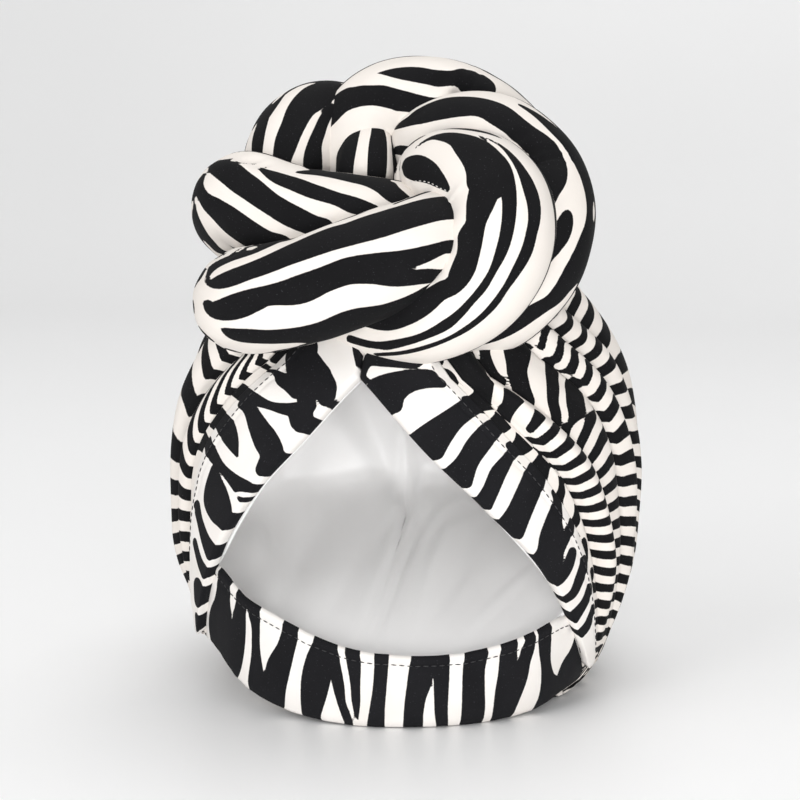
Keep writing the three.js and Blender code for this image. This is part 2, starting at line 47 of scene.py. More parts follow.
cap = {
    "halfWidth": 101, "frontReach": 93, "backReach": 104, "height": 221,
    "centre": np.array([0.0, 5.0, 100.0]),
    "seatTilt": 20,        # degrees that the knot's seat leans forward
    "cornerLift": 20,      # how far the left corner of the hem is off the table
    "liftAcross": (0.3, 0.85), "liftAlong": (-0.35, 0.45),
    "halvings": 24,        # how often the way out to the skin is halved
    # level sections from the table up: up, side, front, back, as shares of the sizes above
    "sections": [
        (0.000, 0.800, 0.945, 0.635),
        (0.018, 0.850, 0.975, 0.692),
        (0.072, 0.915, 0.995, 0.788),
        (0.190, 0.975, 1.000, 0.904),
        (0.353, 1.000, 0.989, 0.981),
        (0.516, 0.990, 0.946, 1.000),
        (0.670, 0.895, 0.849, 0.971),
        (0.796, 0.720, 0.667, 0.894),
        (0.905, 0.515, 0.387, 0.750),
        (0.968, 0.340, 0.086, 0.577),
        (1.000, 0.075, -0.215, 0.337),
    ],
}

studio = {
    "sweep": {"tone": (0.93, 0.93, 0.93, 1), "roughness": 0.45, "halfWidth": 4.0, "front": -4.0,
              "bendAt": 1.15, "bend": 0.6, "bendSteps": 25, "top": 5.0},
    "target": (-2.0, 0.0, 126.0), "distance": 1000.0, "azimuth": 10.0, "elevation": 10.0,
    "lens": 99.0, "sensor": 36, "picture": 800,
    "world": 0.50,
    # each light's name, place, target, size in metres and power in watts
    "lights": [
        ("low_front", (0.10, -2.35, 0.42), (0, 0, 0.08), 0.7, 15.5),
        ("opening_fill", (0.36, -0.86, 0.09), (-0.03, 0, 0.08), 0.3, 3.6),
        ("high_front", (-1.1, -1.6, 1.4), (0, 0, 0.12), 0.8, 8),
        ("window_left", (-1.5, -0.6, 1.2), (0, 0, 0.12), 0.9, 4),
        ("top_soft", (0.2, 0.3, 1.8), (0, 0, 0.1), 1.2, 11),
    ],
}


def smooth(value, start, end):
    t = np.clip((value - start) / (end - start), 0, 1)
    return t * t * (3 - 2 * t)


def unit(vectors):
    return vectors / np.linalg.norm(vectors, axis=-1, keepdims=True)


# rises from 0 at an end or edge to 1 at the radius, as a quarter of a circle does
def roundedEnd(away, radius):
    return np.sqrt(np.clip(1 - np.clip(1 - away / radius, 0, 1) ** 2, 0, 1))


# a smooth curve through a table with uneven places
def throughRows(places, values, x):
    places = np.asarray(places, float)
    values = np.asarray(values, float)
    i = np.clip(np.searchsorted(places, x, side="left") - 1, 0, len(places) - 2)
    slopes = np.empty(len(places))
    slopes[1:-1] = (values[2:] - values[:-2]) / (places[2:] - places[:-2])
    slopes[0] = (values[1] - values[0]) / (places[1] - places[0])
    slopes[-1] = (values[-1] - values[-2]) / (places[-1] - places[-2])
    span = places[i + 1] - places[i]
    t = np.clip((x - places[i]) / span, 0, 1)
    rise = values[i + 1] - values[i]
    bend = (slopes[i] + slopes[i + 1]) * span - 2 * rise
    return values[i] + t * (slopes[i] * span + t * (rise - slopes[i] * span - bend + t * bend))


# a smooth curve through points at even places, t from 0 to 1
def curveThrough(points, t):
    points = np.asarray(points, float)
    place = np.clip(np.asarray(t, float), 0, 1) * (len(points) - 1)
    i = np.minimum(place.astype(int), len(points) - 2)
    w = (place - i).reshape((-1,) + (1,) * (points.ndim - 1))
    padded = np.concatenate([[2 * points[0] - points[1]], points, [2 * points[-1] - points[-2]]])
    p0, p1, p2, p3 = (padded[i + k] for k in range(4))
    a = (p2 - p0) / 2
    b = (p3 - p1) / 2
    return p1 + w * (a + w * (3 * (p2 - p1) - 2 * a - b + w * (2 * (p1 - p2) + a + b)))


# seeded soft noise from -1 to 1 over a plane
def softNoise(x, y, seed):
    size = 64
    start = 1000        # keeps every place above 0
    lattice = np.random.default_rng(seed).uniform(-1, 1, (size, size))
    x = np.asarray(x, float) + start
    y = np.asarray(y, float) + start
    i = np.floor(x).astype(int)
    j = np.floor(y).astype(int)
    u = x - i
    v = y - j
    u = u * u * (3 - 2 * u)
    v = v * v * (3 - 2 * v)

    def at(di, dj):
        return lattice[(i + di) % size, (j + dj) % size]

    low = at(0, 0) * (1 - u) + at(1, 0) * u
    high = at(0, 1) * (1 - u) + at(1, 1) * u
    return low * (1 - v) + high * v


def undersideHeight(point):
    left = smooth(-point[..., 0], *(share * cap["halfWidth"] for share in cap["liftAcross"]))
    along = cap["liftAlong"]
    back = smooth(point[..., 1], along[0] * cap["frontReach"], along[1] * cap["backReach"])
    return cap["cornerLift"] * left * (1 - back)


def insideCap(point):
    rows = np.array(cap["sections"])
    z = point[..., 2]
    up = rows[:, 0] * cap["height"]
    side = throughRows(up, rows[:, 1] * cap["halfWidth"], z)
    front = throughRows(up, -rows[:, 2] * cap["frontReach"], z)
    back = throughRows(up, rows[:, 3] * cap["backReach"], z)
    away = np.hypot(point[..., 0] / side, (2 * point[..., 1] - front - back) / (back - front))
    return (away < 1) & (z >= undersideHeight(point)) & (z <= cap["height"])


# a direction from the cap's centre: bearing goes round the knot's seat, fall goes down from it
def capDirection(bearing, fall):
    bearing = np.radians(bearing)
    fall = np.radians(fall)
    x = np.sin(fall) * np.sin(bearing)
    y = -np.sin(fall) * np.cos(bearing)
    z = np.cos(fall)
    tilt = math.radians(cap["seatTilt"])
    ahead = y * math.cos(tilt) - z * math.sin(tilt)
    up = y * math.sin(tilt) + z * math.cos(tilt)
    return np.stack([x, ahead, up], -1)


def seatAngles(direction):
    tilt = math.radians(cap["seatTilt"])
    x, y, z = direction[..., 0], direction[..., 1], direction[..., 2]
    y, z = y * math.cos(tilt) + z * math.sin(tilt), z * math.cos(tilt) - y * math.sin(tilt)
    return np.degrees(np.arctan2(x, -y)), np.degrees(np.arccos(np.clip(z, -1, 1)))


def capReach(direction):
    near = np.zeros(direction.shape[:-1])
    far = near + 2 * (cap["height"] + cap["halfWidth"])
    for _ in range(cap["halvings"]):
        middle = (near + far) / 2
        inside = insideCap(cap["centre"] + direction * middle[..., None])
        near = np.where(inside, middle, near)
        far = np.where(inside, far, middle)
    return near


def skinPoint(direction, proud):
    point = cap["centre"] + direction * (capReach(direction) + proud)[..., None]
    point[..., 2] = np.maximum(point[..., 2], 0)
    return point


ribbonRules = {
    "limit": 4.0, "stepsPerRow": 10,
    "closeBy": 36, "nearlyClosest": 1.5,     # in the front view, as squares of dots
    "otherFold": 14,        # cloth this much farther from the camera is another fold, and is passed over
    "passedOver": 1e4, "nearest": 4, "softest": 0.05,
}


def dark(*edges):
    return {"edges": edges, "pale": False}


def pale(*edges):
    return {"edges": edges, "pale": True}


# Stripes charted on the cloth: each ribbon is a smooth line of (along, across, width), dark or pale.
# The result is how deep in the dark a point is, in millimetres, and less than 0 in the pale cloth.
def ribbonField(along, across, ribbons, loop=None):
    limit = ribbonRules["limit"]
    field = np.full(along.shape, -limit)
    for ribbon in ribbons:
        rows = np.array(ribbon["path"], float)
        line = curveThrough(rows, np.linspace(0, 1, ribbonRules["stepsPerRow"] * len(rows)))
        line[:, 2] = np.maximum(line[:, 2], 0) / 2
        deepest = np.full(along.shape, -limit)
        for turn in ([0] if loop is None else [-loop, 0, loop]):
            for a, b in zip(line[:-1], line[1:]):
                step = b[:2] - a[:2]
                x = along - a[0]
                y = across + turn - a[1]
                t = np.clip((x * step[0] + y * step[1]) / max(step @ step, 1e-9), 0, 1)
                away = np.hypot(x - t * step[0], y - t * step[1])
                deepest = np.maximum(deepest, a[2] + t * (b[2] - a[2]) - away)
        if ribbon["pale"]:
            field = np.minimum(field, -deepest)
        else:
            field = np.maximum(field, deepest)
    return np.clip(field, -limit, limit)


# right, up and back, for someone who looks from so many degrees round and up
def viewAxes(turn, rise):
    turn, rise = math.radians(turn), math.radians(rise)
    back = np.array([math.sin(turn) * math.cos(rise), -math.cos(turn) * math.cos(rise), math.sin(rise)])
    right = np.array([math.cos(turn), math.sin(turn), 0.0])
    return right, np.cross(back, right), back


def cameraAxes():
    return viewAxes(studio["azimuth"], studio["elevation"])


# where points are seen in the front view, in dots from its top left corner
def seenAt(points):
    right, up, back = cameraAxes()
    away = points - np.array(studio["target"]) - back * studio["distance"]
    scale = studio["lens"] / studio["sensor"] * studio["picture"] / -(away @ back)
    middle = studio["picture"] / 2
    return middle + scale * (away @ right), middle - scale * (away @ up)


# which way the faces of a grid of points look: 1 straight at the camera, less than 0 away from it
def facingCamera(points, outward):
    normal = np.cross(np.gradient(points, axis=0), np.gradient(points, axis=1))
    normal /= np.maximum(np.linalg.norm(normal, axis=-1, keepdims=True), 1e-9)
    normal *= np.where(np.einsum("ijk,ijk->ij", normal, outward) < 0, -1, 1)[..., None]
    toward = unit(cameraAxes()[2] * studio["distance"] + np.array(studio["target"]) - points)
    return np.einsum("ijk,ijk->ij", normal, toward)


# Ribbons whose rows are (x, y, x, y): the ribbon's two edges as places in the front view. They are laid on
# the cloth that is nearest the camera there, so that they follow it.
def layRibbons(chart, points, along, across, facing):
    rules = ribbonRules
    x, y = seenAt(points)
    usable = facing > 0
    depth = (-(points @ cameraAxes()[2]))[usable]
    x, y, run, side = x[usable], y[usable], along[usable], across[usable]
    laid = []
    for ribbon in chart:
        rows = []
        for row in ribbon["edges"]:
            ends = []
            for px, py in (row[:2], row[2:]):
                away = (x - px) ** 2 + (y - py) ** 2
                close = away < max(rules["closeBy"], away.min() * rules["nearlyClosest"])
                hidden = depth > depth[close].min() + rules["otherFold"]
                away = away + np.where(hidden, rules["passedOver"], 0)
                near = np.argpartition(away, rules["nearest"])[:rules["nearest"]]
                weight = 1 / (away[near] + rules["softest"])
                ends.append((run[near] @ weight / weight.sum(), side[near] @ weight / weight.sum()))
            (a, c), (b, d) = ends
            rows.append(((a + b) / 2, (c + d) / 2, math.hypot(b - a, d - c)))
        laid.append({"path": rows, "pale": ribbon["pale"]})
    return laid


# Stripes that run across the folds: phase counts them, and a fork is where one more begins or one ends
def stripeWaves(phase, period, balance, forks, along, across):
    turns = phase.copy()
    for place, side, way in forks:
        turns = turns + way * np.arctan2(across - side, along - place) / (2 * math.pi)
    return (np.cos(2 * math.pi * turns) + balance) * period / (2 * math.pi)


# a sheet of cloth from a grid of points, made from a flat grid that is moved to its place
def clothSheet(name, points, stripe, away=True):
    across, along = points.shape[0] - 1, points.shape[1] - 1
    shape = bmesh.new()
    bmesh.ops.create_grid(shape, x_segments=across, y_segments=along, size=1)
    layer = shape.verts.layers.float.new("stripe")
    for vert in shape.verts:
        i = round((vert.co.x + 1) / 2 * across)
        j = round((vert.co.y + 1) / 2 * along)
        vert.co = Vector((points[i, j] + capShift) * mm)
        vert[layer] = stripe[i, j]
    if away:   # the faces look away from the cap's middle
        shape.normal_update()
        middle = Vector((cap["centre"] + capShift) * mm)
        looks = sum(face.normal.dot(face.calc_center_median() - middle) for face in shape.faces)
        if looks < 0:
            bmesh.ops.reverse_faces(shape, faces=shape.faces)
    else:
        bmesh.ops.remove_doubles(shape, verts=shape.verts, dist=sameVertex)
        bmesh.ops.recalc_face_normals(shape, faces=shape.faces)
    return finishedPiece(name, shape)


def finishedPiece(name, shape):
    bmesh.ops.remove_doubles(shape, verts=shape.verts, dist=sameVertex)
    mesh = bpy.data.meshes.new(name)
    shape.to_mesh(mesh)
    shape.free()
    for face in mesh.polygons:
        face.use_smooth = True
    piece = bpy.data.objects.new(name, mesh)
    bpy.context.scene.collection.objects.link(piece)
    return piece


def giveWall(piece, thickness):
    wall = piece.modifiers.new("wall", "SOLIDIFY")
    wall.thickness = thickness * mm
    wall.offset = -1
    wall.use_even_offset = False


class Socket:
    def __init__(self, tree, socket):
        self.tree = tree
        self.socket = socket

    def maths(self, operation, other):
        return self.tree.node("ShaderNodeMath", {"operation": operation}, {0: self, 1: other})[0]

    def __add__(self, other):
        return self.maths("ADD", other)

    def __sub__(self, other):
        return self.maths("SUBTRACT", other)

    def __mul__(self, other):
        return self.maths("MULTIPLY", other)


class Finish:
    def __init__(self, name):
        self.material = bpy.data.materials.new(name)
        self.material.use_nodes = True
        self.nodes = self.material.node_tree.nodes
        self.links = self.material.node_tree.links
        self.shader = self.nodes["Principled BSDF"]
        self.place = self.node("ShaderNodeTexCoord")[3]

    def node(self, kind, settings=None, inputs=None):
        made = self.nodes.new(kind)
        for key, value in (settings or {}).items():
            setattr(made, key, value)
        for key, value in (inputs or {}).items():
            self.give(made.inputs[key], value)
        return [Socket(self, out) for out in made.outputs if out.enabled]

    def give(self, place, value):
        if isinstance(value, Socket):
            self.links.new(value.socket, place)
        else:
            place.default_value = value

    def noise(self, fineness, layers):
        inputs = {"Vector": self.place, "Scale": fineness, "Detail": layers}
        return self.node("ShaderNodeTexNoise", None, inputs)[0]

    # from 0 at the first value to the most at the last
    def ramp(self, value, first, last, most, settings=None):
        inputs = {0: value, 1: first, 2: last, 3: 0.0, 4: most}
        return self.node("ShaderNodeMapRange", settings, inputs)[0]

    def mixed(self, factor, first, second):
        return self.node("ShaderNodeMix", {"data_type": "RGBA"}, {0: factor, 6: first, 7: second})[0]

    def feed(self, key, value):
        self.give(self.shader.inputs[key], value)

    def bump(self, strength, distance, height):
        inputs = {"Strength": strength, "Distance": distance, "Height": height}
        self.feed("Normal", self.node("ShaderNodeBump", None, inputs)[0])


# Each noise is how fine it is and how many layers it has
clothLook = {
    "pale": (0.80, 0.755, 0.71, 1), "paleAged": (0.745, 0.695, 0.645, 1),
    "dark": (0.003, 0.003, 0.0035, 1), "darkWorn": (0.008, 0.008, 0.009, 1),
    "roughness": 0.86, "sheen": 0.01, "sheenRoughness": 0.5, "specular": 0.14,
    "clouds": (38.0, 3.0),
    "inkEdge": 0.12, "ragged": (900.0, 2.0), "raggedBy": 0.25,
    "lint": (0.06, 0.06, 0.066, 1), "specks": (1500.0, 1.0),
    "lintFrom": 0.70, "lintFull": 0.78, "lintMost": 0.55,
    "threads": (1300.0, 2.0), "threadHeight": 0.25, "creases": (55.0, 4.0), "creaseHeight": 1.2,
    "bump": 0.35, "bumpDistance": 0.0006,
}
hemTones = {
    "pale": (0.86, 0.845, 0.83, 1), "dark": (0.005, 0.005, 0.006, 1), "darkWorn": (0.012, 0.012, 0.014, 1),
}


def zebraCloth(name, look):
    finish = Finish(name)
    stripe = finish.node("ShaderNodeAttribute", {"attribute_name": "stripe"})[2]
    ragged = finish.noise(*look["ragged"])
    printed = stripe + (ragged - 0.5) * look["raggedBy"]
    edge = look["inkEdge"]
    ink = finish.ramp(printed, -edge, edge, 1.0, {"interpolation_type": "SMOOTHSTEP"})
    clouds = finish.noise(*look["clouds"])
    lint = finish.ramp(finish.noise(*look["specks"]), look["lintFrom"], look["lintFull"], look["lintMost"])
    paleTone = finish.mixed(clouds, look["pale"], look["paleAged"])
    darkTone = finish.mixed(lint, finish.mixed(clouds, look["dark"], look["darkWorn"]), look["lint"])
    finish.feed("Base Color", finish.mixed(ink, paleTone, darkTone))
    finish.feed("Roughness", look["roughness"])
    finish.feed("Sheen Weight", look["sheen"])
    finish.feed("Sheen Roughness", look["sheenRoughness"])
    finish.feed("Specular IOR Level", look["specular"])
    threads = finish.noise(*look["threads"]) * look["threadHeight"]
    creases = finish.noise(*look["creases"]) * look["creaseHeight"]
    finish.bump(look["bump"], look["bumpDistance"], threads + creases)
    return finish.material


satinLook = {
    "tone": (0.95, 0.945, 0.94, 1), "shadeTone": (0.91, 0.90, 0.895, 1), "clouds": (16.0, 3.0),
    "roughness": 0.42, "sheen": 0.2,
    "threads": (1800.0, 2.0), "threadHeight": 0.15, "ripples": (30.0, 3.0),
    "bump": 0.25, "bumpDistance": 0.0008,
}


def satinCloth(name, look):
    finish = Finish(name)
    clouds = finish.noise(*look["clouds"])
    finish.feed("Base Color", finish.mixed(clouds, look["tone"], look["shadeTone"]))
    finish.feed("Roughness", look["roughness"])
    finish.feed("Sheen Weight", look["sheen"])
    threads = finish.noise(*look["threads"]) * look["threadHeight"]
    finish.bump(look["bump"], look["bumpDistance"], threads + finish.noise(*look["ripples"]))
    return finish.material


# thread or paint: one tone that is mixed with a darker or lighter share of itself
def mottled(name, tone, noise, share, more, roughness):
    finish = Finish(name)
    other = [share * part + more for part in tone[:3]] + [1]
    finish.feed("Base Color", finish.mixed(finish.noise(*noise), tone, other))
    finish.feed("Roughness", roughness)
    return finish.material


def threadTwist(name, tone):
    return mottled(name, tone, noise=(2500.0, 2.0), share=0.6, more=0.03, roughness=0.6)


clothForKnot = zebraCloth("zebra_knot_cloth", clothLook)
clothForWrap = zebraCloth("zebra_wrap_cloth", clothLook)
clothForHem = zebraCloth("zebra_hem_cloth", {**clothLook, **hemTones})
satin = satinCloth("white_satin", satinLook)
darkThread = threadTwist("dark_thread", (0.012, 0.012, 0.014, 1))
paleThread = threadTwist("pale_thread", (0.75, 0.73, 0.7, 1))
print("materials made")


# The pleated wrap. Each row is one line in the cloth from under the knot to the nape edge:
# its name, its height as a share of the fold height, and its stations as (bearing, fall) in degrees.
wrapRight = {
    "name": "wrap_right", "side": 1, "foldHeight": 7.2,
    "folds": [
        ("hem edge", 0.0, [(-4.5, 24), (-4.5, 39.5), (17, 58.5), (31.5, 76.5), (44, 97), (56, 127.5)]),
        ("band seam", 0.0, [(16, 24), (30, 42), (42, 59.5), (51, 76.5), (57, 98), (56.5, 128.3)]),
        ("first valley", -0.26, [(20, 23), (34, 43), (47, 60), (56, 77), (60, 99), (57, 129)]),
        ("first roll", 0.9, [(25, 23), (39, 44), (53, 61), (61, 78), (63.5, 100), (57.5, 129.5)]),
        ("second valley", -0.26, [(31, 22), (45, 45), (59, 62), (66.5, 79), (67, 102), (58, 130)]),
        ("side panel", 0.35, [(42, 21), (57, 46), (69, 63), (73, 81), (70.5, 104), (58.5, 130.5)]),
        ("third valley", -0.26, [(51, 20), (67, 47), (76.5, 64), (78, 82), (74, 105), (58.5, 131)]),
        ("second roll", 0.85, [(58, 19), (74, 48), (82, 65), (82.5, 83), (77, 107), (58, 131.2)]),
        ("fourth valley", -0.26, [(66, 18), (80, 48), (86.5, 65), (86.5, 84), (81, 108), (57, 131)]),
        ("third roll", 0.85, [(74, 17), (87, 48), (92, 65), (91, 85), (85, 109), (55.5, 130.5)]),
        ("fifth valley", -0.24, [(84, 16), (97, 48), (99, 65), (97, 86), (89, 112), (53.5, 130)]),
        ("crown roll", 0.8, [(97, 14), (108, 48), (108, 66), (105, 88), (95, 116), (50.5, 129)]),
        ("sixth valley", -0.24, [(111, 12), (119, 49), (119, 68), (114, 92), (103, 123), (46, 127.5)]),
        ("back roll", 0.6, [(127, 11), (131, 50), (131, 71), (127, 97), (115, 132), (39, 125.2)]),
        ("back valley", -0.24, [(143, 10), (145, 51), (145, 74), (142, 102), (133, 142), (29, 122.5)]),
        ("last roll", 0.5, [(160, 9), (161, 52), (161, 76), (159, 107), (154, 150), (15, 119.8)]),
        ("back seam", 0.1, [(180, 9), (180, 53), (180, 78), (180, 110), (180, 156), (0, 118.8)]),
    ],
}
wrapLeft = {
    "name": "wrap_left", "side": -1, "foldHeight": 7.2,
    "folds": [
        ("hem edge", 0.0, [(-5.5, 24), (-5.5, 39.5), (-22, 57), (-34, 74), (-44, 95), (-52, 121.5)]),
        ("band seam", 0.0, [(-28, 24), (-42, 42), (-53, 58), (-59.5, 75), (-60, 95), (-53, 122.5)]),
        ("first valley", -0.26, [(-34, 23), (-48, 43), (-58, 59), (-64, 76), (-63.5, 96), (-53.5, 123)]),
        ("first roll", 0.5, [(-41, 22), (-55, 45), (-64, 61), (-69, 78), (-66.5, 98), (-54, 123.5)]),
        ("second valley", -0.26, [(-49, 21), (-63, 47), (-71, 63), (-73.5, 80), (-69.5, 100), (-54, 124)]),
        ("second roll", 1.0, [(-60, 19), (-77, 49), (-79.5, 64), (-78, 82), (-72.5, 103), (-54, 124.5)]),
        ("third valley", -0.26, [(-72, 18), (-89, 50), (-87, 65), (-82, 84), (-74, 106), (-53, 124.3)]),
        ("third roll", 0.7, [(-84, 16), (-97, 49), (-95, 65), (-89, 85), (-79, 109), (-51, 123.2)]),
        ("fourth valley", -0.24, [(-96, 14), (-106, 49), (-104, 66), (-98, 88), (-86, 113), (-48, 121.4)]),
        ("crown roll", 0.7, [(-110, 13), (-117, 49), (-115, 68), (-109, 92), (-97, 119), (-43.5, 119.8)]),
        ("fifth valley", -0.24, [(-126, 11), (-130, 50), (-128, 71), (-123, 97), (-112, 129), (-37, 118.2)]),
        ("back roll", 0.6, [(-143, 10), (-145, 51), (-144, 74), (-141, 102), (-132, 141), (-27, 118.4)]),
        ("back valley", -0.24, [(-161, 9), (-162, 52), (-161, 76), (-160, 107), (-155, 150), (-14, 118.4)]),
        ("back seam", 0.1, [(-180, 9), (-180, 53), (-180, 78), (-180, 110), (-180, 156), (0, 118.8)]),
    ],
}
pleats = {
    "acrossEach": 12, "alongEach": 26, "wall": 1.7, "gap": 0.35,
    "appear": (0.03, 0.16), "gather": (0.80, 0.97),
    "tuckIn": 3.0, "tuckAlong": (0.93, 0.985),      # the wrap's edge goes in behind the nape hem
    "ridgePower": 0.55,     # less than 1 makes tight valleys and full ridges
    "crumples": [(0.7, 1.1, 6, 11), (0.3, 2.6, 9, 12)],     # height, how often across and down, seed
    "crumpleAcross": (1.0, 1.6), "crumpleAlong": (0.02, 0.12),
    "foldWidth": 16,        # about how wide a fold is between its rows, in millimetres
    # how far the hem's ribbons run on: in folds, in shares of the way down and in steps of their own rows
    "hemFolds": (1.45, 1.75), "hemAlong": (0.80, 0.88), "hemStep": 0.9,
}


# a fold line: straight to its second station, level with the opening's apex, then curved
def foldLine(points, along):
    neck = 1 / (len(points) - 1)
    straight = points[0] + (points[1] - points[0]) * (along / neck)[:, None]
    curved = curveThrough(points[1:], (along - neck) / (1 - neck))
    return np.where((along < neck)[:, None], straight, curved)


def foldDirections(folds, across, along):
    stations = np.array([row[2] for row in folds], float)
    lines = capDirection(stations[..., 0], stations[..., 1])
    down = np.stack([foldLine(line, along) for line in lines])
    over = curveThrough(down, across)
    return unit(over)


# height of the cloth across the folds: valleys are tight and ridges are full
def foldProfile(folds, across):
    heights = np.array([row[1] for row in folds])
    place = across * (len(folds) - 1)
    i = np.clip(place.astype(int), 0, len(folds) - 2)
    t = place - i
    a, b = heights[i], heights[i + 1]
    rising = np.sin(math.pi / 2 * t) ** pleats["ridgePower"]
    falling = np.sin(math.pi / 2 * (1 - t)) ** pleats["ridgePower"]
    return np.where(b > a, a + (b - a) * rising, b + (a - b) * falling)


def foldFade(direction):
    point = skinPoint(direction, np.zeros(direction.shape[:-1]))
    fade = pleats["appear"]
    return smooth(point[..., 2] - undersideHeight(point), fade[0] * cap["height"], fade[1] * cap["height"])


def lengthsAlong(points, axis):
    steps = np.linalg.norm(np.diff(points, axis=axis), axis=-1)
    start = np.zeros_like(np.take(steps, [0], axis))
    return np.concatenate([start, np.cumsum(steps, axis)], axis)


def makeWrap(spec):
    folds = spec["folds"]
    across = np.linspace(0, 1, (len(folds) - 1) * pleats["acrossEach"] + 1)
    along = np.linspace(0, 1, (len(folds[0][2]) - 1) * pleats["alongEach"] + 1)
    directions = foldDirections(folds, across, along)
    gathered = 1 - smooth(along, *pleats["gather"])
    profile = foldProfile(folds, across)[:, None] * spec["foldHeight"]
    rise = profile * gathered[None, :] * foldFade(directions)
    s = across[:, None] * (len(folds) - 1)
    t = along[None, :] * np.ones_like(s)
    crumple = sum(high * softNoise(s * wide, t * down, seed)
                  for high, wide, down, seed in pleats["crumples"])
    crumpled = smooth(s, *pleats["crumpleAcross"]) * smooth(t, *pleats["crumpleAlong"])
    rise = rise + crumple * crumpled * gathered[None, :]
    rise = rise - pleats["tuckIn"] * smooth(t, *pleats["tuckAlong"])
    points = skinPoint(directions, rise)
    points[..., 0] += spec["side"] * pleats["gap"] / 2
    down = lengthsAlong(points, 1)
    piece = clothSheet(spec["name"], points, wrapStripes(spec, points, s, down, t))
    giveWall(piece, pleats["wall"])
    return piece


bandRules = {
    # how wide the change from one fold's stripes to the next is: narrow, and wide behind this fold number
    "blend": 0.22, "blendBehind": 0.95, "behind": 7,
    "meet": (0.20, 0.86),       # between these shares of the way down the folds' own counts give way to one
    "wander": [(0.22, 0.8, 34), (0.07, 1.8, 14)],       # how far, how often across, how long in millimetres
    "balance": 0.05, "uneven": (0.30, 0.9, 16),
    "forkWidth": 12,
}


# Stripes of the wrap away from the front: bands across each fold, shifted from fold to fold, with forks.
# They are counted from the nape edge, where all the folds meet.
def wrapBands(s, t, down, spec):
    bands = spec["bands"]
    valleys = range(2, len(spec["folds"]) - 1, 2)
    lengths = down[:, -1:]
    middles = np.convolve([valleys[0] - 2, *valleys, valleys[-1] + 2], [0.5, 0.5], "valid")
    own = np.interp(middles, s[:, 0], lengths[:, 0]) - np.array(bands["shift"]) * bands["period"]
    stepped = own[0]
    most = bands["steepest"] * bands["period"]
    for valley, step in zip(valleys, np.clip(np.diff(own), -most, most)):
        blend = bandRules["blend" if valley < bandRules["behind"] else "blendBehind"]
        stepped = stepped + step * smooth(s, valley - blend, valley + blend)
    meeting = smooth(t, *bandRules["meet"])
    rows = np.array(bands["slant"], float)
    slant = throughRows(rows[:, 0], rows[:, 1], s) * (1 - meeting)
    waves = [far * softNoise(s * often, down / long, bands["seed"] + number)
             for number, (far, often, long) in enumerate([*bandRules["wander"], bandRules["uneven"]])]
    wander = waves[0] + waves[1]
    balance = bandRules["balance"] + waves[2] * (1 - meeting)
    run = down - stepped * (1 - meeting) - lengths * meeting
    phase = run / bands["period"] + slant + wander * (1 - meeting)
    return stripeWaves(phase, bands["period"], balance, bands["forks"], down, s * bandRules["forkWidth"])


wrapRight["bands"] = {
    "period": 8.4, "seed": 21, "steepest": 1.3,
    "shift": [0.0, 0.3, 0.7, 0.1, 0.55, 0.2, 0.8, 0.4],       # in stripes, from fold to fold
    "slant": [(0, 0), (1, 0.3), (2, 0.5), (4, 0.8), (5, 1.5), (6, 2.0), (8, 2.1), (16, 2.6)],
    "forks": [(70, 8.9, 1), (95, 11.2, -1), (80, 13.4, 1), (120, 15.0, -1), (60, 15.2, 1)],
    # the ribbons charted in "seen" give way between these fold numbers and these shares of the way down
    "charted": (5.6, 6.4, 0.36, 0.46),
}
wrapLeft["bands"] = {
    "period": 9.0, "seed": 31, "steepest": 1.3,
    "shift": [0.0, 0.2, 0.6, 0.1, 0.7, 0.3, 0.5],
    "slant": [(0, 0), (1, 0.2), (2, 2.2), (3, 4.0), (4, 5.0), (5, 5.1), (6, 5.2), (13, 6.4)],
    "forks": [(50, 2.6, 1), (70, 3.4, 1), (100, 7.2, 1), (90, 9.5, -1), (70, 10.5, 1), (60, 12.5, -1)],
}
# Dark ribbons on the wrap beside the front bands and under the knot, as they are seen from the front
wrapRight["seen"] = [
    dark((470, 368, 494, 384), (466, 384, 490, 398), (462, 398, 485, 409)),
    dark((506, 393, 521, 400), (502, 402, 516, 411), (497, 411, 511, 421)),
    dark((535, 411, 545, 418), (531, 420, 540, 427), (526, 429, 535, 434)),
    dark((555, 423, 562, 430), (550, 430, 558, 437), (544, 438, 553, 445)),
    dark((503, 335, 527, 335), (504, 350, 527, 350), (506, 368, 527, 369), (511, 384, 530, 386),
         (520, 396, 533, 396)),
    dark((543, 345, 552, 350), (545, 362, 557, 364), (546, 380, 558, 381), (547, 400, 559, 400),
         (551, 415, 562, 417), (558, 426, 566, 428)),
    dark((562, 358, 572, 358), (568, 372, 578, 372), (567, 388, 581, 388), (567, 404, 584, 402),
         (570, 420, 590, 418), (577, 438, 594, 434), (588, 452, 598, 446)),
    dark((478, 345, 490, 345), (480, 358, 491, 356), (486, 370, 496, 368), (496, 379, 503, 376)),
    dark((440, 352, 475, 352), (452, 362, 470, 360), (470, 366, 480, 364)),
    dark((541, 333, 560, 345), (542, 350, 556, 358)),
    dark((566, 353, 574, 358), (564, 362, 570, 366)),
    dark((586, 370, 594, 378), (583, 379, 589, 386)),
    dark((600, 392, 606, 400), (594, 398, 600, 407)),
    dark((610, 410, 615, 420), (604, 415, 608, 424)),
    dark((541, 312, 560, 300), (552, 330, 566, 324), (566, 345, 580, 338), (584, 355, 596, 352)),
]


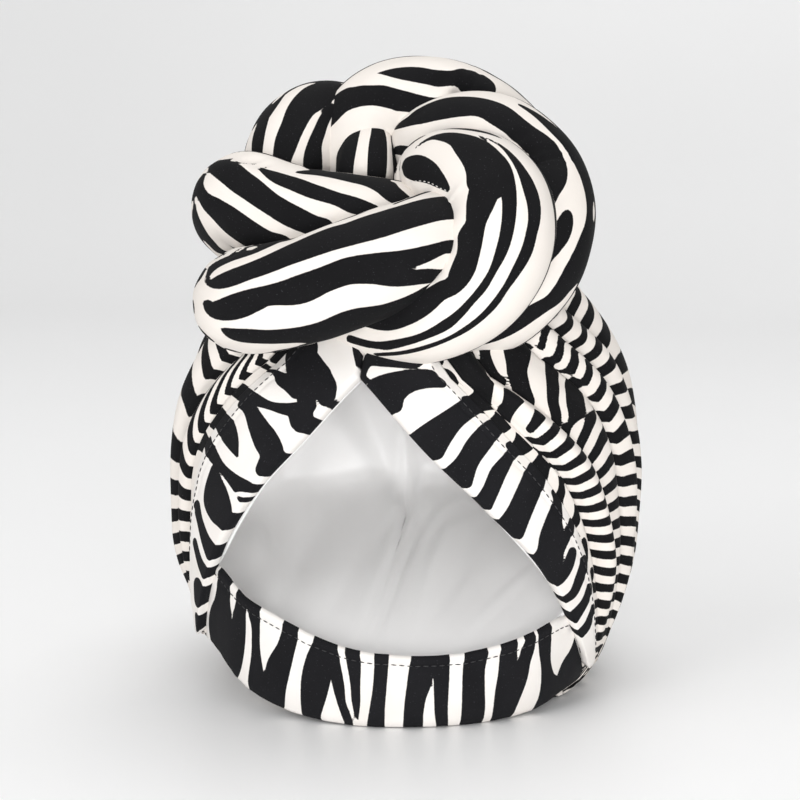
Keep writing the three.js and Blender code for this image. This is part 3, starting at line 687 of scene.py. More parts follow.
# Dark ribbons on the front bands, as they are seen from the front
rightBandStripes = [
    dark((359, 376, 366, 384), (360, 366, 369, 368), (364, 358, 378, 361), (375, 354, 400, 357),
         (400, 352, 425, 362)),
    dark((369, 387, 393, 415), (374, 378, 401, 401), (388, 373, 414, 392), (404, 371.5, 430, 387),
         (420, 371, 446, 386)),
    dark((412, 435, 437, 460), (424, 424, 449, 443), (440, 414, 462, 427), (452, 406, 474, 417),
         (464, 398, 486, 410), (474, 390, 498, 402)),
    dark((447, 469, 465, 488), (458, 456, 476, 468), (470, 438, 487, 451), (482, 425, 497, 438),
         (496, 414, 510, 424), (508, 406, 522, 414)),
    dark((475, 498, 486, 511), (486, 485, 496, 495), (495, 467, 503, 477), (505, 453, 514, 460),
         (517, 438, 530, 444), (526, 425, 545, 436)),
    dark((497, 521, 514, 541), (510, 507, 526, 523), (517, 490, 536, 503), (524, 472, 545, 483),
         (537, 456, 550, 468), (550, 445, 560, 455)),
    dark((530, 557, 551, 583), (541, 545, 559, 564), (549, 528, 556, 548), (553, 512, 556, 525),
         (556, 497, 559, 506), (559, 485, 565, 492)),
    dark((553, 556, 561, 560), (561, 538, 569, 541), (566, 526, 574, 530), (573, 516, 580, 520)),
    dark((553, 586, 556, 584), (562, 582, 561, 575), (570, 572, 565, 563), (576, 555, 570, 548)),
    dark((560, 596, 566, 603), (570, 590, 577, 596), (576, 575, 583, 582), (580, 558, 588, 562)),
    dark((570, 611, 577, 623), (581, 601, 588, 606), (587, 585, 592, 590)),
    dark((579, 629, 583, 636), (586, 621, 590, 628), (591, 605, 594, 611)),
]
leftBandStripes = [
    dark((352, 345, 372, 345), (354, 356, 370, 356), (357, 368, 366, 370)),
    dark((280, 345, 318, 347), (285, 353, 314, 356), (290, 364, 322, 366), (297, 378, 329, 380),
         (300, 391, 334, 398), (306, 402, 326, 410)),
    dark((320, 403, 300, 433), (303, 402, 291, 418), (288, 403, 281, 414), (270, 401, 266, 409),
         (255, 393, 250, 405), (246, 385, 236, 399), (238, 380, 230, 392)),
    pale((316, 400, 317, 400.5), (317, 408, 321, 405), (318, 419, 328, 409)),
    dark((266, 364, 263, 368), (277, 370, 273, 374), (286, 375, 281, 385), (295, 381, 289, 392),
         (303, 384, 298, 399)),
    dark((240, 400, 250, 405), (245, 410, 257, 412), (249, 425, 267, 427), (254, 440, 278, 440),
         (260, 457, 284, 450), (262, 476, 276, 459)),
    dark((209, 424, 224, 411), (218, 433, 234, 421), (226, 446, 238, 437), (236, 457, 238.5, 456)),
    dark((197, 444, 204, 433), (207, 457, 216, 448), (218, 470, 224, 463), (227, 481, 238, 477),
         (236, 495, 250, 482), (243, 502, 257, 484)),
    pale((232, 493.5, 233, 494), (239, 492, 240, 496), (247, 493, 246, 497)),
    dark((211, 467, 217, 470), (206, 483, 222, 484), (204, 494, 227, 499), (208, 508, 231, 509),
         (214, 520, 233, 513), (221, 530, 234, 513)),
    dark((194, 507, 200, 505), (197, 523, 203, 520), (201, 541, 209, 536), (207, 559, 216, 545)),
    dark((193, 545, 197, 541), (197, 563, 202, 559), (202, 577, 207, 567)),
    dark((194, 590, 204, 586), (194, 600, 203, 597)),
    dark((195, 618, 203, 615), (196, 630, 204, 627)),
]
wrapRight["beside"] = rightBandStripes
wrapLeft["beside"] = leftBandStripes


def wrapStripes(spec, points, s, down, t):
    stripe = wrapBands(s, t, down, spec)
    facing = facingCamera(points, points - cap["centre"])
    across = s * pleats["foldWidth"] * np.ones_like(down)
    if "seen" in spec:
        lastFold, noFold, lastDown, noDown = spec["bands"]["charted"]
        charted = ribbonField(down, across, layRibbons(spec["seen"], points, down, across, facing))
        share = (1 - smooth(s, lastFold, noFold)) * (1 - smooth(t, lastDown, noDown))
        stripe = charted * share + stripe * (1 - share)
    # the hem's ribbons run on over its stitching, up to the first valley
    ribbons = layRibbons(spec["beside"], points, down, across, facing)
    for ribbon in ribbons:
        before, last = np.array(ribbon["path"][-2]), np.array(ribbon["path"][-1])
        ribbon["path"].append(tuple(last + (last - before) * pleats["hemStep"]))
    share = (1 - smooth(s, *pleats["hemFolds"])) * (1 - smooth(t, *pleats["hemAlong"]))
    return ribbonField(down, across, ribbons) * share + stripe * (1 - share)


rightPiece = makeWrap(wrapRight)
leftPiece = makeWrap(wrapLeft)
print("wrap pleated")


# The front bands: the wrap's hem folded double, from the apex under the knot to the lower corners
frontBands = {
    "lift": 0.35, "wall": 1.5, "acrossEach": 40, "alongEach": 40, "stitchAt": 0.78,
    "stitchDepth": 0.45, "pucker": 0.22, "puckerEvery": 6.5, "edgeRound": 1.3, "clothWall": 0.75,
    "hemTurn": 0.9, "turned": 4.6, "turnRows": 8, "turnFrom": 3, "offTable": 0.1,
    "stopShort": 1 / 24,    # the share of its fold lines that the hem leaves to the nape band
    "sink": 1.3, "sinkPast": (0.03, 0.99),      # its outer side comes down to the wrap beyond the stitching
}
# shared by all three hems: the groove of the stitching and the puckers beside it, in millimetres
hemWork = {"edgeDrop": 0.9, "grooveWidth": 1.1, "puckerWidth": 5.0, "puckerAcross": 14, "puckerBase": 0.35}


def hemProfile(fromEdge, width, along, spec, seed):
    radius = spec["edgeRound"]
    edges = np.minimum(roundedEnd(fromEdge, radius), roundedEnd(width - fromEdge, radius))
    stitch = width * spec["stitchAt"]
    groove = np.exp(-((fromEdge - stitch) / hemWork["grooveWidth"]) ** 2)
    near = np.exp(-((fromEdge - stitch) / hemWork["puckerWidth"]) ** 2)
    ripple = softNoise(along / spec["puckerEvery"], fromEdge / hemWork["puckerAcross"], seed)
    puckers = spec["pucker"] * ripple * (hemWork["puckerBase"] + near)
    return spec["wall"] * (edges - hemWork["edgeDrop"]) - spec["stitchDepth"] * groove + puckers


# the cloth goes round its folded edge, over the edge of what is under it, and carries its stripes with it
def turnHem(points, stripe, spec):
    out = unit(points[0] - points[spec["turnFrom"]]) * spec["hemTurn"]
    inward = unit(cap["centre"] - points[0]) * spec["turned"]
    turns = np.linspace(math.pi, 0, spec["turnRows"] + 1)[:-1]
    rows = np.array([points[0] + out * math.sin(turn) + inward * (1 - math.cos(turn)) / 2 for turn in turns])
    rows[..., 2] = np.maximum(rows[..., 2], spec["offTable"])
    carried = np.repeat(stripe[:1], len(rows), 0)
    return np.concatenate([rows, points]), np.concatenate([carried, stripe])


def makeFrontBand(name, folds, side, ribbons, seed):
    spec = frontBands
    across = np.linspace(0, 1 / (len(folds) - 1), spec["acrossEach"] + 1)
    along = np.linspace(0, 1 - spec["stopShort"], (len(folds[0][2]) - 1) * spec["alongEach"] + 1)
    directions = foldDirections(folds, across, along)
    base = skinPoint(directions, np.full(directions.shape[:-1], spec["lift"] + spec["wall"]))
    fromEdge = lengthsAlong(base, 0)
    width = fromEdge[-1][None, :] * np.ones_like(fromEdge)
    down = lengthsAlong(base, 1)
    middleDown = down[spec["acrossEach"] // 2][None, :] * np.ones_like(down)
    rise = hemProfile(fromEdge, width, middleDown, spec, seed)
    past, end = spec["sinkPast"]
    sunk = smooth(fromEdge / width, spec["stitchAt"] + past, end) * spec["sink"]
    points = skinPoint(directions, spec["lift"] + spec["wall"] + rise - sunk)
    points[..., 0] += side * pleats["gap"] / 2
    facing = facingCamera(points, points - cap["centre"])
    laid = layRibbons(ribbons, points, middleDown, fromEdge, facing)
    stripe = ribbonField(middleDown, fromEdge, laid)
    stitchLine = points[int(round(spec["stitchAt"] * spec["acrossEach"]))]
    piece = clothSheet(name, *turnHem(points, stripe, spec))
    giveWall(piece, spec["clothWall"])
    return piece, stitchLine


bandRight, rightStitchLine = makeFrontBand("hem_right", wrapRight["folds"], 1, rightBandStripes, 41)
bandLeft, leftStitchLine = makeFrontBand("hem_left", wrapLeft["folds"], -1, leftBandStripes, 42)
print("front hems folded")


# The nape band: bearing, bottom and top fall in degrees, and how far it is tucked behind the front bands
napeBand = {
    "edges": [
        (-55, 121.5, 99.5, 1), (-48, 119.3, 99.0, 1), (-41, 117.7, 99.2, 0.9), (-32, 116.8, 99.8, 0.1),
        (-20, 116.8, 101.0, 0), (-5, 117.2, 103.5, 0), (10, 117.6, 105.0, 0), (24, 120.0, 106.0, 0),
        (36, 122.6, 106.6, 0.1), (45, 125.0, 107.8, 0.9), (51, 127.0, 109.5, 1), (58, 129.0, 111.0, 1),
    ],
    "tuckDepth": 2.9, "wall": 1.5, "across": 36, "alongEach": 24, "stitchAt": 0.89,
    "stitchDepth": 0.4, "pucker": 0.3, "puckerEvery": 5.5, "edgeRound": 1.2, "clothWall": 1.2,
    "mostProud": 0.4, "seed": 43,
}


def makeNapeBand(ribbons):
    spec = napeBand
    rows = np.array(spec["edges"], float)
    numbers = np.arange(len(rows))
    place = np.linspace(0, len(rows) - 1, (len(rows) - 1) * spec["alongEach"] + 1)
    bearing, bottom, top = (throughRows(numbers, rows[:, k], place) for k in range(3))
    tuck = np.clip(throughRows(numbers, rows[:, 3], place), 0, 1)
    up = np.linspace(0, 1, spec["across"] + 1)[:, None]
    fall = bottom[None, :] * (1 - up) + top[None, :] * up
    directions = capDirection(bearing[None, :] * np.ones_like(fall), fall)
    sunk = -tuck[None, :] * spec["tuckDepth"] * np.ones_like(fall)
    base = skinPoint(directions, sunk)
    fromBottom = lengthsAlong(base, 0)
    width = fromBottom[-1][None, :] * np.ones_like(fromBottom)
    along = lengthsAlong(base, 1)[spec["across"] // 2][None, :] * np.ones_like(fall)
    rise = hemProfile(fromBottom, width, along, spec, spec["seed"])
    points = skinPoint(directions, sunk + np.minimum(rise, spec["mostProud"]))
    laid = layRibbons(ribbons, points, along, fromBottom, np.ones_like(along))
    piece = clothSheet("hem_nape", points, ribbonField(along, fromBottom, laid))
    giveWall(piece, spec["clothWall"])
    return piece, points[int(round(spec["stitchAt"] * spec["across"]))]


napeStripes = [
    dark((218, 577, 247, 598), (216, 595, 246, 614), (213, 622, 245, 630), (211, 640, 241, 645),
         (211, 652, 236, 658), (216, 660, 230, 671)),
    pale((230, 586, 237, 592), (230.5, 603, 235, 604), (231.5, 612, 233, 612), (232, 619, 232.5, 619)),
    dark((247, 600, 262, 607), (251, 625, 260, 625), (252, 645, 260, 645), (251, 663, 262, 663),
         (249, 678, 266, 680), (249, 686, 275, 694)),
    dark((286, 617, 300, 625), (282, 632, 298, 635), (277, 650, 294, 650), (268, 668, 289, 668),
         (264, 680, 286, 685), (262, 692, 285, 704)),
    dark((316, 631, 337, 638), (312, 648, 338, 650), (306, 665, 341, 666), (301.5, 683, 344, 683),
         (301, 700, 346, 700), (303, 714, 352, 718)),
    pale((331.5, 679, 332.5, 679), (329, 690, 333, 690), (326, 702, 337, 702), (322, 718, 344, 720)),
    dark((347, 641, 362, 645), (347, 665, 361, 665), (350, 683, 360, 684), (352, 702, 360, 702),
         (356, 719, 359, 719)),
    dark((376, 646, 390, 649), (374, 670, 388, 670), (372, 690, 386.5, 690), (370, 706, 385, 706),
         (367, 726, 385, 728)),
    dark((413, 652, 449, 651), (409, 672, 449, 672), (406, 690, 448.5, 690), (404, 708, 448, 708),
         (403, 730, 448, 730)),
    pale((433, 678, 433.5, 678), (430, 688, 433.7, 688), (426, 700, 434, 700), (423.5, 714, 434.5, 714),
         (423.5, 731, 436.5, 731)),
    dark((465, 649, 487, 645), (463, 670, 485, 668), (462, 690, 485, 690), (462, 708, 485, 707),
         (460, 730, 482, 727)),
    dark((502, 641, 534, 632), (500, 660, 531, 655), (498, 676, 528, 673), (495, 693, 522, 692),
         (493, 709, 516, 708), (490, 725, 511, 722)),
    pale((517, 638, 523, 635), (517, 650, 521, 650), (517, 660, 518, 660)),
    dark((537, 631, 552, 627), (539, 650, 551, 648), (541, 667, 551.5, 664), (541, 683, 555, 681),
         (538, 698, 560, 692), (534, 714, 566, 703)),
    dark((576, 628, 590, 628), (572, 645, 588, 646), (565, 661, 586, 664), (557, 677, 584, 680),
         (556, 692, 582, 694)),
]
napePiece, napeStitchLine = makeNapeBand(napeStripes)
print("nape hem folded")


# The lining: it follows the wrap, and hangs loose at the back and over the table
lining = {
    "slack": 30, "floor": 24, "rise": 0.3, "rounding": 18, "tuck": 3, "gather": 12,
    "bandWall": 1.9, "gap": 0.35, "wall": 1.0, "across": 200, "along": 110,
    "topFall": 0.5, "leastFall": 0.05, "never": 1e6,
    # where it is free to fold: far enough back, off the table, past the nape hem and round to the back
    "freeBack": (0.0, 0.45), "freeTable": (3, 16), "freeHem": (3, 20), "freeRound": (58, 90),
    "foldsAcross": 34, "foldsDown": 9, "foldsIn": 1.2,
    "folds": [(5.0, 1.0, 0.6, 0.3, 51), (2.0, 1.8, -1.0, 0.8, 52)],     # height, across, slant, down, seed
}


def softLesser(a, b, rounding):
    apart = np.minimum(np.abs(a - b) / rounding, 1)
    return np.minimum(a, b) - rounding * (1 - apart) ** 2 / 4


def makeLining():
    spec = lining
    edges = np.array(napeBand["edges"], float)

    def linesOf(folds, corner):
        kept = [row for i, row in enumerate(folds) if i % 2 == 0 or i == len(folds) - 1]
        made = []
        for i, row in enumerate(kept):
            bearing = corner * (1 - i / (len(kept) - 1))
            top = float(throughRows(edges[:, 0], edges[:, 2], np.array([bearing]))[0])
            made.append([(row[2][0][0], spec["topFall"]), *row[2][1:-1], (bearing, top + spec["tuck"])])
        return made

    right = linesOf(wrapRight["folds"], edges[-2, 0])
    left = linesOf(wrapLeft["folds"], edges[1, 0])
    lines = [("", 0, row) for row in right + left[::-1][1:]]
    across = np.linspace(0, 1, spec["across"] + 1)
    along = np.linspace(0, 1, spec["along"] + 1)
    directions = foldDirections(lines, across, along)
    bearing, fall = seatAngles(directions)
    toBack = smooth(np.abs(bearing), *spec["freeRound"])
    bearing = np.clip(bearing, edges[0, 0], edges[-1, 0])
    tuck = np.clip(throughRows(edges[:, 0], edges[:, 3], bearing), 0, 1)
    top = throughRows(edges[:, 0], edges[:, 2], bearing)
    near = smooth(fall, top - spec["gather"], top)
    inset = spec["bandWall"] + spec["gap"] + napeBand["tuckDepth"] * (1 + (tuck - 1) * near)
    back = np.maximum(directions[..., 1], 0)
    loose = capReach(directions) - inset - spec["slack"] * back * back
    fallAway = spec["rise"] * directions[..., 1] - directions[..., 2]
    overFloor = cap["centre"][2] - spec["floor"] - spec["rise"] * (cap["centre"][1] + cap["frontReach"])
    falls = fallAway > spec["leastFall"]
    toFloor = np.where(falls, overFloor / np.maximum(fallAway, spec["leastFall"]), spec["never"])
    reach = softLesser(loose, toFloor, spec["rounding"])
    wide = across[:, None] * spec["foldsAcross"]
    long = along[None, :] * spec["foldsDown"] * np.ones_like(wide)
    free = np.maximum(smooth(back, *spec["freeBack"]), smooth(loose - toFloor, *spec["freeTable"]))
    hemEnd, hemPast = spec["freeHem"]
    swell = free * (1 - (1 - toBack) * (1 - smooth(fall, top + hemEnd, top + hemPast)))
    folds = sum(high * softNoise(wide * often + slant * long, long * down, seed)
                for high, often, slant, down, seed in spec["folds"])
    reach = reach + (folds - spec["foldsIn"]) * swell
    points = cap["centre"] + directions * reach[..., None]
    piece = clothSheet("satin_lining", points, np.full(points.shape[:-1], -ribbonRules["limit"]))
    giveWall(piece, spec["wall"])
    return piece


liningPiece = makeLining()
print("lining hung")


# The knot: one padded roll in the stretches that lie over one another. Rows are across, up, toward, girth:
# across and up are shares of the knot's half width and height, toward and girth of the roll's diameter.
knot = {
    "rollDiameter": 43, "halfWidth": 87.5, "halfHeight": 66, "centre": np.array([5.0, -50.0, 217.0]),
    "turn": 10, "pitch": 10, "lean": 30, "sides": 108, "step": 1.3, "fewestRings": 24, "fineSteps": 2001,
    "swells": [(0.5, 26, 1.0), (0.25, 9, 1.6)],     # height, length and how often round
    "pucker": {"height": 26, "length": 4.5, "round": (0.7, 0.5), "most": 1.3},     # on the inside of bends
    "pinchWaves": (0.35, 7, 2), "seed": 100,
    "stretches": {
        "inner_right": [
            (0.06, 0.14, -0.30, 0.70), (0.23, 0.22, 0.16, 0.90), (0.375, 0.17, 0.38, 1.02),
            (0.475, 0.03, 0.45, 1.08), (0.50, -0.15, 0.42, 1.08), (0.465, -0.35, 0.29, 1.05),
            (0.365, -0.53, 0.09, 1.02), (0.20, -0.645, -0.20, 1.02), (-0.01, -0.68, -0.54, 1.02),
            (-0.225, -0.65, -0.82, 1.00), (-0.455, -0.60, -0.95, 0.98), (-0.66, -0.56, -0.78, 0.90),
        ],
        "front_left": [
            (-0.53, -0.58, -0.88, 0.80), (-0.67, -0.58, -0.66, 0.96), (-0.72, -0.59, -0.30, 1.04),
            (-0.64, -0.59, -0.05, 1.05), (-0.455, -0.55, 0.08, 1.05), (-0.235, -0.455, 0.22, 1.05),
            (0.04, -0.315, 0.30, 1.02), (0.245, -0.18, 0.12, 0.95), (0.39, -0.05, -0.20, 0.80),
        ],
        "middle_left": [
            (-0.50, -0.20, -1.02, 0.80), (-0.70, -0.08, -0.90, 0.92), (-0.775, 0.035, -0.52, 0.98),
            (-0.72, 0.065, -0.22, 1.00), (-0.50, -0.055, -0.08, 1.02), (-0.23, -0.10, -0.08, 1.02),
            (0.04, -0.13, -0.18, 0.95), (0.24, -0.16, -0.42, 0.80),
        ],
        "outer_right": [
            (0.02, 0.27, -0.42, 0.80), (0.17, 0.41, -0.20, 0.95), (0.34, 0.46, -0.04, 1.02),
            (0.475, 0.44, 0.00, 1.04), (0.59, 0.34, 0.00, 1.04), (0.67, 0.20, -0.02, 1.06),
            (0.70, 0.03, -0.05, 1.08), (0.695, -0.14, -0.10, 1.06), (0.655, -0.32, -0.20, 1.04),
            (0.57, -0.48, -0.34, 1.02), (0.46, -0.60, -0.52, 1.00), (0.30, -0.66, -0.78, 1.00),
            (0.05, -0.66, -1.05, 0.96), (-0.30, -0.56, -1.25, 0.92), (-0.62, -0.30, -1.12, 0.90),
        ],
        "top": [
            (-0.16, 0.12, -0.66, 0.80), (-0.18, 0.38, -0.50, 0.92), (-0.14, 0.59, -0.36, 0.98),
            (-0.02, 0.715, -0.26, 1.00), (0.15, 0.745, -0.20, 1.00), (0.33, 0.69, -0.26, 1.00),
            (0.49, 0.565, -0.44, 0.96), (0.60, 0.39, -0.72, 0.92), (0.62, 0.14, -0.98, 0.84),
        ],
        "upper_left": [
            (-0.50, 0.05, -0.72, 0.86), (-0.525, 0.30, -0.52, 0.98), (-0.47, 0.52, -0.46, 1.00),
            (-0.35, 0.62, -0.56, 0.98), (-0.18, 0.56, -0.80, 0.88), (-0.05, 0.32, -1.02, 0.80),
        ],
        "centre": [
            (-0.13, 0.60, -0.60, 0.60), (-0.14, 0.36, -0.22, 0.64), (-0.145, 0.08, -0.40, 0.64),
        ],
    },
    # where the cloth is caught in: share along, degrees round, depth, length along and width round in mm
    "pinches": {
        "outer_right": [(0.27, 6, 4.2, 9, 5), (0.30, -2, 1.8, 4, 14), (0.46, -10, 3.4, 10, 5),
                        (0.44, -16, 1.2, 4, 12)],
        "top": [(0.57, -22, 3.6, 8, 5), (0.60, -30, 1.6, 4, 12)],
        "middle_left": [(0.37, -52, 2.6, 7, 4)],
        "inner_right": [(0.06, 52, 2.0, 5, 14), (0.50, 62, 2.4, 5, 8), (0.54, 66, 1.8, 3, 8)],
        "front_left": [(0.24, -64, 1.6, 6, 4)],
    },
    # the row where each stretch is seen squarely: degrees round it are counted from there
    "facing": {"inner_right": 4, "front_left": 4, "middle_left": 4, "outer_right": 6, "top": 4,
               "upper_left": 2, "centre": 1},
}


# the line, the rings' own directions and the girths of one stretch, at even steps along it
def rollLine(rows, facing):
    rows = np.array(rows, float)
    across, up, toward = viewAxes(knot["turn"], knot["pitch"])
    height = rows[:, 1] * knot["halfHeight"]
    out = rows[:, 2] * knot["rollDiameter"] - height * math.tan(math.radians(knot["lean"]))
    points = (knot["centre"] + rows[:, :1] * knot["halfWidth"] * across + height[:, None] * up
              + out[:, None] * toward)
    fine = np.linspace(0, 1, knot["fineSteps"])
    dense = curveThrough(points, fine)
    run = lengthsAlong(dense, 0)
    rings = max(knot["fewestRings"], int(run[-1] / knot["step"]))
    t = np.interp(np.linspace(0, run[-1], rings + 1), run, fine)
    line = curveThrough(points, t)
    tangent = unit(np.gradient(line, axis=0))
    start = int(np.argmin(np.abs(t - facing / (len(rows) - 1))))
    normal = np.zeros_like(line)
    normal[start] = toward - (toward @ tangent[start]) * tangent[start]
    normal[start] /= np.linalg.norm(normal[start])
    for way, stop in ((1, rings + 1), (-1, -1)):
        for i in range(start + way, stop, way):
            carried = normal[i - way] - (normal[i - way] @ tangent[i]) * tangent[i]
            normal[i] = carried / np.linalg.norm(carried)
    side = np.cross(tangent, normal)
    girth = throughRows(np.arange(len(rows)), rows[:, 3] * knot["rollDiameter"] / 2, t * (len(rows) - 1))
    return {"line": line, "tangent": tangent, "normal": normal, "side": side, "girth": girth,
            "length": run[-1]}


def pinchDepth(name, roll, run, angle):
    high, along, around = knot["pinchWaves"]
    depth = np.zeros(np.broadcast(run, angle).shape)
    for share, degrees, deep, longest, widest in knot["pinches"].get(name, []):
        x = (run - share * roll["length"]) / longest
        turn = (angle - math.radians(degrees) + math.pi) % (2 * math.pi) - math.pi
        y = turn * knot["rollDiameter"] / 2 / widest
        depth = depth + deep * np.exp(-(x * x + y * y)) * (1 + high * np.cos(along * x + around * y))
    return depth


def rollPoints(name, roll, seed):
    rings = len(roll["line"])
    share = np.linspace(0, 1, rings)
    angle = np.linspace(-math.pi, math.pi, knot["sides"] + 1)[:, None]
    fromEnd = np.minimum(share, 1 - share) * roll["length"]
    rounding = roundedEnd(fromEnd, roll["girth"])
    bendVector = np.gradient(roll["tangent"], roll["length"] / (rings - 1), axis=0)
    outward = np.cos(angle)[..., None] * roll["normal"] + np.sin(angle)[..., None] * roll["side"]
    squeeze = np.clip(np.einsum("ijk,jk->ij", outward, bendVector), 0, None)    # the inside of a bend
    run = share[None, :] * roll["length"]
    x, y = 2 * np.cos(angle), 2 * np.sin(angle)
    swells = sum(high * softNoise(run / long + x * often, y * often, seed + number)
                 for number, (high, long, often) in enumerate(knot["swells"]))
    rules = knot["pucker"]
    a, b = rules["round"]
    pucker = squeeze * rules["height"] * softNoise(run / rules["length"], x * a + y * b, seed + 2)
    pucker = np.clip(pucker, -rules["most"], rules["most"])
    caught = pinchDepth(name, roll, run, angle)
    radius = (roll["girth"][None, :] + swells + pucker - caught) * rounding[None, :]
    return roll["line"][None] + outward * radius[..., None]


def hiddenRibbons(length, perDegree):
    least, more, waves = hiddenStripes["width"]
    laid = []
    for turn in hiddenStripes["turns"]:
        path = []
        for share, way in hiddenStripes["wander"]:
            width = least + more * math.sin(share * waves + turn) ** 2
            path.append((share * length, (turn + way) * perDegree, width))
        laid.append({"path": path, "pale": False})
    return laid


def makeRolls():
    made, shapes = {}, {}
    perDegree = knot["rollDiameter"] / 2 * math.pi / 180
    for number, (name, rows) in enumerate(knot["stretches"].items()):
        roll = rollLine(rows, knot["facing"][name])
        points = rollPoints(name, roll, knot["seed"] + 10 * number)
        facing = facingCamera(points, points - roll["line"][None])
        shapes[name] = (points, facing)
        sides, rings = points.shape[:2]
        angle = np.linspace(-180, 180, sides)[:, None] * np.ones((1, rings))
        around = angle * perDegree
        run = np.linspace(0, roll["length"], rings)[None, :] * np.ones_like(around)
        seen = layRibbons(rollStripes[name], points, run, around, facing)
        seenField = ribbonField(run, around, seen, loop=360 * perDegree)
        hidden = hiddenRibbons(roll["length"], perDegree)
        hiddenField = ribbonField(run, around, hidden, loop=360 * perDegree)
        share = smooth(facing, *hiddenStripes["giveWay"])
        stripe = seenField * share + hiddenField * (1 - share)
        made[name] = clothSheet("roll_" + name, points, stripe, away=False)
    return made, shapes


# The dark ribbons on the side of each stretch that is turned away from the front, by degrees round the roll.
# Each wanders by (share along, degrees), and widens and narrows in waves.
hiddenStripes = {
    "turns": range(-176, 155, 33),
    "wander": [(0.0, 0), (0.1, 8), (0.2, 14), (0.3, 6), (0.4, -8), (0.5, -12), (0.6, 2), (0.7, 12), (0.8, 6),
               (0.9, -8), (1.0, -12)],
    "width": (5.2, 4.5, 9),
    "giveWay": (0.10, 0.30),        # to the ribbons below, where the cloth turns to the front
}
